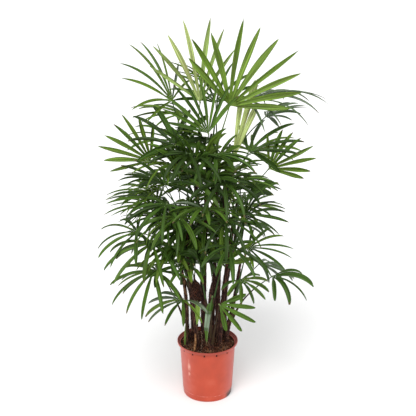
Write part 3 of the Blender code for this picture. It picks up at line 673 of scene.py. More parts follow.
def leaf_material(name, colour, roughness=0.50, sheen=0.10):
    """A blade's green in lighter and darker bands and patches, with fine ribs and a slow change of gloss."""
    material, tree, shader = new_material(name, colour, roughness, sheen)
    shades = pattern(tree, "UV", (1.0, 0.10, 1.0), 1.6, 4.0)
    dry = (colour[0] * 1.25 + 0.010, colour[1] * 0.78 + 0.006, colour[2] + 0.006)
    stops = ((0.30, dry), (0.40, scaled(colour, 0.58)), (0.51, colour), (0.66, scaled(colour, 1.70)))
    tree.links.new(ramp(tree, shades, *stops), shader.inputs["Base Color"])
    blotches = pattern(tree, "Object", EVEN, 16.0, 3.0)
    gloss = ranged(tree, blotches, roughness - 0.08, roughness + 0.12)
    tree.links.new(gloss, shader.inputs["Roughness"])
    ribs = pattern(tree, "UV", (1.0, 0.05, 1.0), 9.0, 2.0)
    bump(tree, shader, ribs, 0.35, 0.0006)
    return material


def fibre_material(name, dark, middle, light):
    """Matted palm fibre: strands that run mostly up the cane."""
    material, tree, shader = new_material(name, middle, 0.9, 0.25)
    strands = pattern(tree, "Object", (1.0, 1.0, 0.10), 330.0, 4.0)
    colour = ramp(tree, strands, (0.32, dark), (0.52, middle), (0.70, light))
    tree.links.new(colour, shader.inputs["Base Color"])
    bump(tree, shader, strands, 0.9, 0.0015)
    return material


def grain_material(name, dark, middle, light, size, roughness, depth):
    """A mottled matt surface for compost, bark and dry bits."""
    material, tree, shader = new_material(name, middle, roughness, 0.2)
    grain = pattern(tree, "Object", EVEN, size, 5.0)
    colour = ramp(tree, grain, (0.36, dark), (0.52, middle), (0.68, light))
    tree.links.new(colour, shader.inputs["Base Color"])
    bump(tree, shader, grain, 0.8, depth)
    return material


@cache
def pot_material():
    """Moulded plastic with painted shade on its lip, painted sheen towards both sides, a pale streak of
    painted highlight on the left, a foot ring and a dark patch low on the right.
    """
    plain = (0.470, 0.054, 0.019)
    material, tree, shader = new_material("pot_plastic", plain, 0.42)
    mottle = pattern(tree, "Object", EVEN, 14.0, 4.0)
    fine = pattern(tree, "Object", (1.0, 1.0, 0.5), 60.0, 3.0)
    colour = ramp(tree, mottle, (0.28, scaled(plain, 0.88)), (0.52, plain), (0.76, (0.52, 0.082, 0.038)))
    source = node(tree, "TexCoord").outputs["Object"]
    x, y, z = node(tree, "SeparateXYZ", links={"Vector": source}).outputs
    at = partial(close_to, tree)
    patchy = at(fine, 0.62, 0.22)
    coats = (
        # painted shade: darker over the lip, most at its top edge
        ((0.330, 0.042, 0.022), at(z, POT_HEIGHT, 0.024)),
        # painted sheen: paler towards the left side and towards the right side
        ((0.62, 0.150, 0.120), at(x, -0.135, 0.085), ranged(tree, mottle, 0.35, 0.75)),
        ((0.56, 0.130, 0.115), at(x, 0.140, 0.080), ranged(tree, mottle, 0.30, 0.65)),
        # painted highlight: a pale patchy streak on the left of the front
        ((0.80, 0.42, 0.34), at(x, -0.090, 0.010), at(z, 0.165, 0.080), at(y, -0.10, 0.06), patchy),
        ((0.66, 0.20, 0.15), at(z, STEP_HEIGHT, 0.0035), patchy),
        # a dark patch low on the right side, near the foot
        ((0.030, 0.018, 0.014), at(x, 0.112, 0.030), at(z, 0.010, 0.040), ranged(tree, fine, 0.6, 1.8)),
    )
    for one in coats:
        colour = coat(tree, colour, *one)
    tree.links.new(colour, shader.inputs["Base Color"])
    tree.links.new(ranged(tree, fine, 0.36, 0.48), shader.inputs["Roughness"])
    bump(tree, shader, mottle, 0.12, 0.0010)
    return material


# Fronds

# A section across a fine strap: places from its left to its right edge, and the relief of its ribs
ACROSS = (-1.0, -0.70, -0.36, 0.0, 0.36, 0.70, 1.0)
PLEATS = (0.00, -0.080, 0.050, -0.100, 0.050, -0.080, 0.00)
TROUGH_POWER = 1.3
FINE_FOLD = 0.42
FOLD_RANGE = (0.5, 1.5)
TOOTH = (0.002, 0.040)
# Where straps run together near the hub, and how wide they are there at most
SPOKE_SHARES = (0.10, 0.45, 0.80)
SPOKE_FOLD = 0.10
SPOKE_MOST = 0.50
ROOT_SHARE = 0.80
ROOT_MOST = 0.46
JOINED = 0.96
YOUNG_JOINED = 1.02
ROLL = 15.0
YOUNG_ROLL = 5.0
# The leaf pattern's map: steps across, steps along, and how far apart straps may start in it
MAP_ACROSS = 0.42
MAP_ALONG = 24.0
MAP_RANGE = 40.0
# The wide blade low in front is dark above, pale with painted sheen half way down and green at its end
WHOLE = 2.0
BLADE_SHEEN_STRETCHES = ((0.30, "deep"), (0.40, "grey"), (0.66, "blade"), (0.74, "grey"), (WHOLE, "middle"))
# How often a strap keeps its frond's colour, how often its tip is dry, and how wide it is
KEEPS_COLOUR = 0.65
DRY_TIP = 0.35
WIDTH_RANGE = (0.80, 1.12)

FINE_PARTS = 5
FINE_SIDES = 7
SHEATH_SWELL = 1.5
SHEATH_POWER = 5
SPEAR_HEAD = 2.4
HEAD_POWER = 6
BROWN_BELOW = 0.56
KNOB_LIFT = 0.001
KNOB_SIZE = 0.0042
KNOB_SHAPE = (1.7, 0.7)
KNOB_RINGS = 5
KNOB_SIDES = 8


def level(turn):
    """The level unit vector at a turn in radians."""
    return Vector((math.cos(turn), math.sin(turn), 0.0))


def deal(dice, choices):
    """One name, by chance, from a text of counts and names."""
    words = choices.split()
    return dice.choice([name for count, name in zip(words[::2], words[1::2]) for _ in range(int(count))])


def section(place, beside, upper, half, fold, relief):
    """One section across a strap: a shallow trough with ribs."""
    points = []
    for share, pleat in zip(ACROSS, PLEATS):
        lift = half * (fold * abs(share) ** TROUGH_POWER * 2 + pleat * relief * 2)
        points.append(place + beside * half * share + upper * lift)
    return points


def rolled(stations, roll):
    """The same stations, with the strap turned about its own run, in full from a third of its length on."""
    turned = []
    for index, (place, beside, upper) in enumerate(stations):
        share = min(1.0, 3 * index / (len(stations) - 1))
        turn = Quaternion(beside.cross(upper), math.radians(roll) * share)
        turned.append((place, turn @ beside, turn @ upper))
    return turned


def fine_strap(hub, stations, shape, width, step, dice, tone, dry_tip, joined, roll):
    """One strap: out of the hub, through its stations, to a blunt toothed tip."""
    stations = rolled(stations, dice.gauss(0.0, roll))
    start, across, upper = stations[0]
    end = len(stations) - 1
    root = start - hub
    spoke = math.tan(math.radians(step / 2)) * root.length
    rings = []
    lengths = []
    for share in SPOKE_SHARES:
        half = min(spoke * share * joined, width * SPOKE_MOST)
        rings.append(section(hub + root * share, across, upper, half, SPOKE_FOLD, share))
        lengths.append(root.length * (share - 1))
    total = (stations[end][0] - start).length
    run = 0.0
    fold = FINE_FOLD * dice.uniform(*FOLD_RANGE)
    for index, (place, beside, up) in enumerate(stations):
        half = width * between(shape, index / end) / 2
        if index == 0:
            half = max(half, min(spoke * joined * ROOT_SHARE, width * ROOT_MOST))
        else:
            run += (place - stations[index - 1][0]).length
        points = section(place, beside, up, half, fold, 1.0)
        if index == end:
            ahead = (place - stations[index - 1][0]).normalized()
            points = [point - ahead * total * dice.uniform(*TOOTH) for point in points]
        rings.append(points)
        lengths.append(run)
    count = len(ACROSS)
    offset = dice.uniform(0.0, MAP_RANGE)
    points = [point for ring in rings for point in ring]
    map_x = [offset + index * MAP_ACROSS for index in range(count)]
    places = [(x, offset + length * MAP_ALONG) for length in lengths for x in map_x]
    bodies = defaultdict(list)
    last = len(rings) - 2
    stretches = BLADE_SHEEN_STRETCHES if tone == "blade" else ((WHOLE, tone),)
    for ring in range(last + 1):
        kind = next("leaves_" + name for limit, name in stretches if ring / last < limit)
        if ring == last and dry_tip:
            kind = "leaf_tips"
        for near in range(ring * count, ring * count + count - 1):
            bodies[kind].append([near, near + 1, near + count + 1, near + count])
    for kind, faces in bodies.items():
        heaps[kind].add(points, faces, places)


def smooth_line(line, parts):
    """A line through the same points, rounded between them."""
    finer = []
    for index in range(len(line) - 1):
        before, start, end = line[max(index - 1, 0)], line[index], line[index + 1]
        after = line[min(index + 2, len(line) - 1)]
        for part in range(parts):
            t = part / parts
            square = (before * 2 - start * 5 + end * 4 - after) * t * t
            cube = (start * 3 - before - end * 3 + after) * t**3
            finer.append((start * 2 + (end - before) * t + square + cube) / 2)
    finer.append(line[-1])
    return finer


def along_values(values, parts):
    """The values that go with the points of smooth_line."""
    finer = []
    for start, end in zip(values, values[1:]):
        finer.extend(start + (end - start) * part / parts for part in range(parts))
    finer.append(values[-1])
    return finer


def fine_petiole(line, kind, head=1.0):
    """A slender stalk, thicker where it leaves its sheath and, by head, where it meets its blade."""
    smooth = smooth_line(line, FINE_PARTS)
    last = len(smooth) - 1
    radii = []
    for index, radius in enumerate(along_values(petiole_radii(), FINE_PARTS)):
        share = index / last
        swell = 1 + SHEATH_SWELL * (1 - share) ** SHEATH_POWER
        radii.append(radius * swell * (1 + (head - 1) * share**HEAD_POWER))
    low = sum(place.z < BROWN_BELOW for place in smooth) if kind == "petioles_deep" else 0
    if low > 1:
        heaps["petioles_brown"].add(*tube_skin(smooth[: low + 1], radii[: low + 1], FINE_SIDES))
        smooth = smooth[low:]
        radii = radii[low:]
    if len(smooth) > 1:
        heaps[kind].add(*tube_skin(smooth, radii, FINE_SIDES))


def knob(middle, along, upper):
    """The small raised crest where a petiole ends in its blade."""
    side = along.cross(upper)
    long, flat = KNOB_SHAPE
    points = []
    for ring in range(KNOB_RINGS + 1):
        rise = math.pi * ring / KNOB_RINGS
        out = math.sin(rise) * KNOB_SIZE
        for corner in range(KNOB_SIDES):
            turn = math.tau * corner / KNOB_SIDES
            place = middle + along * math.cos(rise) * KNOB_SIZE * long + side * math.cos(turn) * out
            points.append(place + upper * math.sin(turn) * out * flat)
    heaps["hubs"].add(points, bands(KNOB_RINGS, KNOB_SIDES))


def fine_frond(hub, row, straps, step, width, dice, choices=None):
    """A frond's blade, strap by strap, each in a colour dealt to it. Gives the frond's main colour."""
    age = AGES[row[7]]
    young = row[7] in YOUNG
    choices = choices or age.deal
    main = deal(dice, choices)
    joined, roll = (YOUNG_JOINED, YOUNG_ROLL) if young else (JOINED, ROLL)
    for _, stations in straps:
        if stations is None:
            continue
        tone = main if dice.random() < KEEPS_COLOUR else deal(dice, choices)
        dry_tip = dice.random() < DRY_TIP and not young
        own = width * age.narrowing * dice.uniform(*WIDTH_RANGE)
        fine_strap(hub, stations, age.outline, own, step, dice, tone, dry_tip, joined, roll)
    along, _, upper = blade_frame(*row[3:6])
    knob(hub + upper * KNOB_LIFT, along, upper)
    return main


# Straps of a frond that doesn't move aside: their number, the step between them and how far each may vary
FREE_COUNTS = (6, 7, 8)
FREE_STEP = 24.0
FREE_SWAY = 4
FREE_TILT = 6
FREE_DROOP = (22, 52)


def free_straps(hub, row, dice):
    """Straps of a frond that doesn't have to move aside for others."""
    along, across, upper = blade_frame(*row[3:6])
    straps = []
    count = dice.choice(FREE_COUNTS)
    spread = FREE_STEP * (count - 1)
    for index in range(count):
        share = index / (count - 1) * 2 - 1
        turn = math.radians(share * spread / 2 + dice.uniform(-FREE_SWAY, FREE_SWAY))
        flat = along * math.cos(turn) + across * math.sin(turn)
        start = hub + flat * SPLIT_RADIUS
        tilt = math.radians(dice.uniform(-FREE_TILT, FREE_TILT))
        heading = flat * math.cos(tilt) + upper * math.sin(tilt)
        own = row[6] * (1 - OUTER_LENGTH * share * share) - SPLIT_RADIUS
        droop = dice.uniform(*FREE_DROOP)
        stations = strap_line(start, heading, upper.cross(flat), own, droop, dice.uniform(-TWIST, TWIST))
        straps.append((math.degrees(turn), stations))
    return straps


def free_frond(hub, row, straps, width, foot, outward, dice, choices):
    """A frond that doesn't have to move aside for others, with its stalk."""
    fine_frond(hub, row, straps, FREE_STEP, width, dice, choices)
    fine_petiole(petiole_line(foot, outward, hub, direction(row[3], row[4]), 0.0), "petioles_deep")


# Small inner fronds. How far out from the middle they may reach, at heights from the lowest to the highest:
INNER_REACH = (
    *((0.30, 0.20), (0.50, 0.27), (0.70, 0.33), (0.95, 0.36)),
    *((1.15, 0.34), (1.30, 0.26), (1.50, 0.14)),
)
# and how much less they may on the right, where the photo's plant is thinner
LEFT_EXTRA = 0.05
RIGHT_EXTRA = -0.06
RIGHT_FROM = 0.08
# Their deal mixes tones that are partly painted light (bright) and partly painted shade (deep, dark)
INNER_DEAL = "3 dark 3 deep 3 middle 3 bright 2 grey 1 fresh"
INNER_START = (0.80, 0.88)
INNER_ABOVE_CANE = 0.16
INNER_TOP = 1.36
# The spiral that they stand in: its turn, how far that varies, and the rise, which is less above DENSE_FROM
SPIRAL = 137.5
SPIRAL_SWAY = 25
INNER_RISE = (0.085, 0.135)
DENSE_FROM = 0.90
DENSE_RISE = 0.60
SPARSE_RISE = 0.90
INNER_DROP = 0.05
INNER_OUT = (0.05, 0.13)
HIGH_FROM = 1.00
HIGH_PITCH = (10, 62)
LOW_PITCH = (-25, 35)
INNER_LENGTH = (0.17, 0.235)
INNER_ROLL = 20
INNER_AGES = ("open", "slim", "dusk")
INNER_WIDTHS = (0.80, 0.56, 0.40)
INNER_FOOT = 0.10


def inner_fronds():
    """Small shaded fronds close to the canes, inside the reach of the outer ones."""
    dice = random.Random(7)
    for cane in CANES:
        bearing = dice.uniform(0, 360)
        height = dice.uniform(*INNER_START)
        while height < min(cane[4] + INNER_ABOVE_CANE, INNER_TOP):
            bearing += SPIRAL + dice.uniform(-SPIRAL_SWAY, SPIRAL_SWAY)
            middle, _ = along_cane(cane, min(height - INNER_DROP, cane[4]))
            outward = direction(bearing, 0)
            hub = Vector((middle.x, middle.y, height)) + outward * dice.uniform(*INNER_OUT)
            pitch = dice.uniform(*(HIGH_PITCH if height > HIGH_FROM else LOW_PITCH))
            length = dice.uniform(*INNER_LENGTH)
            tip = hub + direction(bearing, pitch) * length
            height += dice.uniform(*INNER_RISE) * (DENSE_RISE if height > DENSE_FROM else SPARSE_RISE)
            extra = LEFT_EXTRA if tip.x < RIGHT_FROM else RIGHT_EXTRA
            if math.hypot(tip.x, tip.y) > between(INNER_REACH, tip.z) + extra:
                continue
            roll = dice.uniform(-INNER_ROLL, INNER_ROLL)
            row = (*hub, bearing, pitch, roll, length, dice.choice(INNER_AGES))
            straps = free_straps(hub, row, dice)
            width = STRAP_WIDTH * dice.choice(INNER_WIDTHS)
            free_frond(hub, row, straps, width, middle - UP * INNER_FOOT, outward, dice, INNER_DEAL)


# Each small frond that fills a gap among the outer ones: hub, bearing, pitch, length and width of its straps
FILLERS = (
    (-0.211, 0.030, 1.057, 178, 10, 0.20, 0.50),
    (-0.190, -0.040, 1.020, 200, -8, 0.22, 0.46),
    (-0.240, 0.060, 1.090, 165, 14, 0.20, 0.42),
    (-0.178, 0.030, 0.981, 190, -18, 0.21, 0.50),
    (-0.260, 0.000, 1.037, 185, -10, 0.16, 0.40),
    (-0.098, -0.080, 1.255, 190, 66, 0.20, 0.90),
    (-0.060, -0.110, 1.215, 220, 74, 0.21, 0.95),
    (-0.010, -0.085, 1.236, 330, 70, 0.19, 0.85),
    (0.039, -0.050, 1.189, 20, 66, 0.19, 0.80),
    (-0.134, -0.100, 1.194, 160, 62, 0.20, 0.90),
    (0.010, -0.130, 1.150, 260, 40, 0.20, 0.80),
    (-0.055, -0.070, 0.860, 250, -35, 0.20, 0.95),
    (-0.020, -0.060, 0.840, 285, -48, 0.19, 0.95),
    (-0.084, 0.000, 0.854, 215, -30, 0.18, 0.70),
    (-0.007, -0.050, 0.914, 300, -20, 0.20, 0.75),
    (0.100, 0.040, 1.130, 10, 30, 0.19, 0.60),
)
FILLER_DEAL = "1 dark 3 deep 4 middle 2 bright 1 grey"
FILLER_ROLL = 15
FILLER_NEAR = 0.08
FILLER_FOOT = 0.14
FILLER_RISE = 0.02


def fillers():
    """Small fronds in the gaps that the spiral of inner ones leaves, each from the cane nearest to it."""
    dice = random.Random(19)
    for x, y, z, bearing, pitch, length, narrow in FILLERS:
        hub = Vector((x, y, z))
        cane = min(CANES, key=lambda one: (along_cane(one, min(z - FILLER_NEAR, one[4]))[0] - hub).length)
        row = (x, y, z, bearing, pitch, dice.uniform(-FILLER_ROLL, FILLER_ROLL), length, "slim")
        foot, _ = along_cane(cane, min(z - FILLER_FOOT, cane[4]))
        outward = Vector((x - foot.x, y - foot.y, FILLER_RISE)).normalized()
        straps = free_straps(hub, row, dice)
        free_frond(hub, row, straps, STRAP_WIDTH * narrow, foot, outward, dice, FILLER_DEAL)


LIME_BLADE = (-0.047, -0.145, 0.553)
LIME_LENGTH = 0.112
LIME_WIDTH = 0.024
LIME_SIDE = (1.0, -0.15, 0.0)
LIME_HEADING = (-0.03, -0.12, -1.0)
LIME_BOW = Vector((0.0, -0.006, 0.0))
LIME_STEPS = 7
LIME_ROOT = 0.012
LIME_FAN = 30.0
LIME_JOINED = 0.6


def lime_blade():
    """The one narrow young blade that hangs in front of the canes."""
    hub = Vector(LIME_BLADE)
    side = Vector(LIME_SIDE).normalized()
    heading = Vector(LIME_HEADING).normalized()
    stations = []
    for step in range(LIME_STEPS + 1):
        share = step / LIME_STEPS
        place = hub + heading * LIME_LENGTH * share + LIME_BOW * math.sin(math.pi * share)
        stations.append((place, side, side.cross(heading)))
    root = hub - heading * LIME_ROOT
    dice = random.Random(4)
    fine_strap(root, stations, LONG_BAND, LIME_WIDTH, LIME_FAN, dice, "fresh", False, LIME_JOINED, 0.0)


# Canes

FIBRE_SIDES = 20
FIBRE_RINGS = 18
# Sheaths: the first one's height over the compost, the rise from each to the next, the least gap to a
# petiole's foot, how far the top slants, how much it stands out and how far down it thins away
SHEATH_START = (0.03, 0.06)
SHEATH_RISE = (0.040, 0.062)
SHEATH_LEAST = 0.03
SHEATH_END = 0.02
SHEATH_SLANT = (0.004, 0.014)
SHEATH_BULGE = (0.10, 0.30)
SHEATH_FADE = 0.055
FADE_POWER = 0.7
# The noise of the fibre: how fine across and along, and its relief
SEED_STEP = (3.7, 1.3)
STRAND_SCALE = (6.0, 14.0)
STRAND_RELIEF = 0.16
KNOT_SCALE = (2.0, 38.0)
KNOT_RELIEF = 0.10
# Loose fibres: how many to a metre of cane, their length, wind, stand-off, fray and thickness
FIBRES = 70
FIBRE_LENGTH = (0.025, 0.090)
FIBRE_WIND = 1.6
FIBRE_STAND = (0.0006, 0.0035)
FIBRE_LOW = 1.25
FIBRE_OUT = 1.16
FIBRE_FRAY = 0.008
FIBRE_THICK = (0.0004, 0.0009)
FIBRE_TAPER = 0.6
FIBRE_STEPS = 5
RARE_FIBRE = 0.22


def rough(out, height, scale, seed=Vector()):
    """Noise on a stem, whose surface lies out from its middle, as fine across and along as scale says."""
    across, along = scale
    return noise.noise(seed + Vector((out.x * across, out.y * across, height * along)))


def fibre(line, thick, kind, taper=0.0):
    """One three-sided strand."""
    radii = [thick * (1 - taper * index / (len(line) - 1)) for index in range(len(line))]
    heaps[kind].add(*tube_skin(line, radii, 3))


def sheathed_cane(number, cane, feet):
    """A cane wrapped in overlapping sheaths of matted fibre, each with a slanting ragged top."""
    dice = random.Random(300 + number)
    line = smooth_line(cane_line(cane), FIBRE_RINGS)
    radii = along_values(cane_radii(cane), FIBRE_RINGS)
    edges = sorted(feet)
    height = SOIL_TOP + dice.uniform(*SHEATH_START)
    while height < cane[4] - SHEATH_END:
        if all(abs(height - edge) > SHEATH_LEAST for edge in edges):
            edges.append(height)
        height += dice.uniform(*SHEATH_RISE)
    edges.sort()
    slants = [(dice.uniform(0, math.tau), dice.uniform(*SHEATH_SLANT)) for _ in edges]
    bulges = [dice.uniform(*SHEATH_BULGE) for _ in edges]
    seed = Vector((number * SEED_STEP[0], number * SEED_STEP[1], 0.0))
    points = []
    side = Vector((1.0, 0.0, 0.0))
    for place, heading, radius in zip(line, headings_of(line), radii):
        side = (side - heading * side.dot(heading)).normalized()
        other = heading.cross(side)
        for corner in range(FIBRE_SIDES):
            turn = math.tau * corner / FIBRE_SIDES
            out = side * math.cos(turn) + other * math.sin(turn)
            wrap = 0.0
            for edge, (phase, slant), bulge in zip(edges, slants, bulges):
                top = edge + slant * math.sin(turn + phase)
                if top - SHEATH_FADE < place.z <= top:
                    wrap = max(wrap, bulge * (1 - (top - place.z) / SHEATH_FADE) ** FADE_POWER)
            strand = rough(out, place.z, STRAND_SCALE, seed) * STRAND_RELIEF
            knot = rough(out, place.z, KNOT_SCALE, seed) * KNOT_RELIEF
            points.append(place + out * (radius * (1.0 + wrap + strand + knot)))
    faces = bands(len(line) - 1, FIBRE_SIDES)
    faces.append([len(points) - 1 - corner for corner in range(FIBRE_SIDES)])
    faces.append(list(range(FIBRE_SIDES)))
    heaps["canes"].add(points, faces)
    loose_fibres(cane, dice)


def loose_fibres(cane, dice):
    """Strands that wind round a cane and stand off it where a sheath frays."""
    top = cane[4]
    for _ in range(int(FIBRES * (top - SOIL_TOP))):
        height = SOIL_TOP + (top - SOIL_TOP) * dice.random() ** FIBRE_LOW
        length = dice.uniform(*FIBRE_LENGTH)
        turn = dice.uniform(0, math.tau)
        wind = dice.uniform(-FIBRE_WIND, FIBRE_WIND)
        stand = dice.uniform(*FIBRE_STAND)
        line = []
        for step in range(FIBRE_STEPS + 1):
            share = step / FIBRE_STEPS
            z = height + length * share
            if z > top:
                break
            middle, radius = along_cane(cane, z)
            out = radius * FIBRE_OUT + stand + FIBRE_FRAY * share**3 * dice.random()
            line.append(middle + level(turn + wind * share) * out)
        if len(line) > 2:
            thick = dice.uniform(*FIBRE_THICK)
            kind = "fibres_tan" if dice.random() < RARE_FIBRE else "fibres_dark"
            fibre(line, thick, kind, FIBRE_TAPER)


MAT_CANE = 2
MAT_SPAN = (0.512, 0.628)
MAT_RADIUS = 0.027
MAT_OFFSET = Vector((0.020, -0.010, 0.0))
MAT_RINGS = 16
MAT_SIDES = 28
MAT_POWER = 0.45
MAT_ENDS = 0.25
LUMP_SCALE = (2.2, 34.0)
MAT_LUMPS = 0.22
HAIR_SCALE = (9.0, 60.0)
MAT_HAIRS = 0.14
MAT_STRANDS = 260
MAT_LENGTH = (0.02, 0.07)
MAT_WIND = 1.5
MAT_STAND = (1.04, 0.02)
MAT_FRAY = 0.004


def mat_middle(height):
    """The middle of the mat at a height."""
    return along_cane(CANES[MAT_CANE], height)[0] + MAT_OFFSET


def fibre_mat():
    """The thick mat of old sheath fibre that wraps one cane low down."""
    dice = random.Random(88)
    low, high = MAT_SPAN
    points = []
    for ring in range(MAT_RINGS + 1):
        place = mat_middle(low + (high - low) * ring / MAT_RINGS)
        swell = math.sin(math.pi * (ring + MAT_ENDS) / (MAT_RINGS + 2 * MAT_ENDS)) ** MAT_POWER
        for corner in range(MAT_SIDES):
            out = level(math.tau * corner / MAT_SIDES)
            lump = rough(out, place.z, LUMP_SCALE)
            hair = rough(out, place.z, HAIR_SCALE)
            points.append(place + out * MAT_RADIUS * swell * (1.0 + MAT_LUMPS * lump + MAT_HAIRS * hair))
    faces = bands(MAT_RINGS, MAT_SIDES)
    faces.append(list(range(MAT_SIDES))[::-1])
    faces.append([MAT_RINGS * MAT_SIDES + corner for corner in range(MAT_SIDES)])
    heaps["canes"].add(points, faces)
    for _ in range(MAT_STRANDS):
        start = dice.uniform(low, high)
        turn = dice.uniform(0, math.tau)
        length = dice.uniform(*MAT_LENGTH)
        wind = dice.uniform(-MAT_WIND, MAT_WIND)
        line = []
        for step in range(FIBRE_STEPS + 1):
            share = step / FIBRE_STEPS
            height = start + length * (share - 0.5)
            rise = min(max((height - low) / (high - low), 0.0), 1.0)
            swell = math.sin(math.pi * rise) ** MAT_POWER * MAT_STAND[0] + MAT_STAND[1]
            out = MAT_RADIUS * swell + MAT_FRAY * share * dice.random()
            line.append(mat_middle(height) + level(turn + wind * share) * out)
        thick = dice.uniform(*FIBRE_THICK)
        fibre(line, thick, "fibres_red" if dice.random() < RARE_FIBRE else "fibres_dark")


# Green sheaths stand on the canes that end above GREEN_FROM. Each withered one: cane, and heights it spans
GREEN_FROM = 0.95
GREEN_SHEATH = 0.15
GREEN_RANGE = (0.75, 1.15)
GREEN_END = 0.0005
GREEN_SWELL = 1.36
WITHERED = ((0, 0.46, 0.66), (6, 1.02, 1.115))
WITHERED_SWELL = 1.22
SHEATH_STEPS = 12
SHEATH_SIDES = 12
# How uneven a sheath is: the relief and how fast it waves, and how much its top narrows
SHEATH_WAVE = (0.10, 5.0)
SHEATH_NARROW = 0.22


def sheath(cane, low, high, swell, kind):
    """A sheath wrapped round a cane between two heights, a little uneven, and narrower at its top."""
    relief, pace = SHEATH_WAVE
    line = []
    radii = []
    for step in range(SHEATH_STEPS + 1):
        share = step / SHEATH_STEPS
        middle, radius = along_cane(cane, low + (high - low) * share)
        line.append(middle)
        wave = relief * math.sin(pace * share + cane[0] * 90)
        radii.append(radius * swell * (1.0 + wave - SHEATH_NARROW * share**4))
    heaps[kind].add(*tube_skin(line, radii, SHEATH_SIDES))


def sheaths():
    """Green sheaths of the youngest fronds round the canes' tops, and the withered ones lower down."""
    dice = random.Random(71)
    for cane in CANES:
        length = GREEN_SHEATH * dice.uniform(*GREEN_RANGE)
        if cane[4] > GREEN_FROM:
            sheath(cane, cane[4] - length, cane[4] - GREEN_END, GREEN_SWELL, "sheaths_green")
    for number, low, high in WITHERED:
        sheath(CANES[number], low, high, WITHERED_SWELL, "sheaths_tan")


# Each shoot: foot right and back, lean right and back, height, thickness and kind
SHOOTS = (
    (-0.068, -0.092, 0.008, 0.006, 0.100, 0.0066, "shoots"),
    (-0.034, -0.092, 0.004, 0.010, 0.110, 0.0036, "speckled"),
    (-0.110, -0.022, 0.012, 0.000, 0.160, 0.0066, "petioles_fresh"),
    (0.008, -0.108, -0.010, 0.006, 0.030, 0.0026, "shoots"),
    (0.070, -0.088, 0.010, 0.004, 0.034, 0.0028, "shoots"),
    (-0.092, 0.030, -0.010, 0.010, 0.120, 0.0040, "petioles_deep"),
)
SHOOT_STEPS = 13
SHOOT_SIDES = 8
SHOOT_SINK = 0.004
SHOOT_BOW = 0.006
SHOOT_JOINT = 0.16
SHOOT_JOINTS = 3
SHOOT_TAPER = 0.40
SPECK_TURN = (200, 340)
SPECK_SIZE = 0.0022


def shoots():
    """Thin stems and young shoots that rise from the compost between the canes."""
    dice = random.Random(23)
    for x, y, lean_x, lean_y, height, thick, kind in SHOOTS:
        foot = Vector((x, y, SOIL_TOP - SHOOT_SINK))
        lean = Vector((lean_x, lean_y, height))
        bow = Vector((dice.uniform(-SHOOT_BOW, SHOOT_BOW), dice.uniform(-SHOOT_BOW, SHOOT_BOW), 0.0))
        line = []
        radii = []
        for step in range(SHOOT_STEPS + 1):
            share = step / SHOOT_STEPS
            line.append(foot + lean * share + bow * math.sin(math.pi * share))
            taper = 1 - SHOOT_TAPER * step / SHOOT_STEPS
            radii.append(thick * (1.0 + SHOOT_JOINT * (step % SHOOT_JOINTS == 0)) * taper)
        heaps["fibres_dark" if kind == "speckled" else kind].add(*tube_skin(line, radii, SHOOT_SIDES))
        if kind == "speckled":
            for place, radius in zip(line[1:], radii[1:]):
                turn = math.radians(dice.uniform(*SPECK_TURN))
                chip(place + level(turn) * radius, dice, SPECK_SIZE, "pale_bits")


# Pot and compost

POT_ROUND = 144
FINE_LIP = 0.0135
SIDE_HEIGHTS = (0.036, 0.060, 0.100, 0.140, 0.180, 0.220, 0.240, 0.250, 0.2545, 0.2555, 0.265, 0.2685)
# Notches in the side under the lip: the first one's place, their width and depth in the side, how far
# round an edge slopes, the heights that they lie between and those of the dark slot of painted shade in each
NOTCHES = 14
NOTCH_FIRST = -58.0
NOTCH_WIDTH = 2.6
NOTCH_DEPTH = 0.0030
NOTCH_SLOPE = 0.6
NOTCH_SPAN = (0.2550, 0.2700)
SLOT_SPAN = (0.2555, 0.2705)
SLOT_OUTS = (0.0016, 0.0006)
FRONT = -90.0
# The drain holes' rims and dark middles, which are painted shade: radius against the hole's, and height
DRAIN_RINGS = ((DRAIN_RADIUS + 0.0016, 0.0034), (DRAIN_RADIUS + 0.0008, 0.0022), (DRAIN_RADIUS, 0.0026))
DRAIN_MIDDLE = (0.0, 0.0033)
DRAIN_SIDES = 20


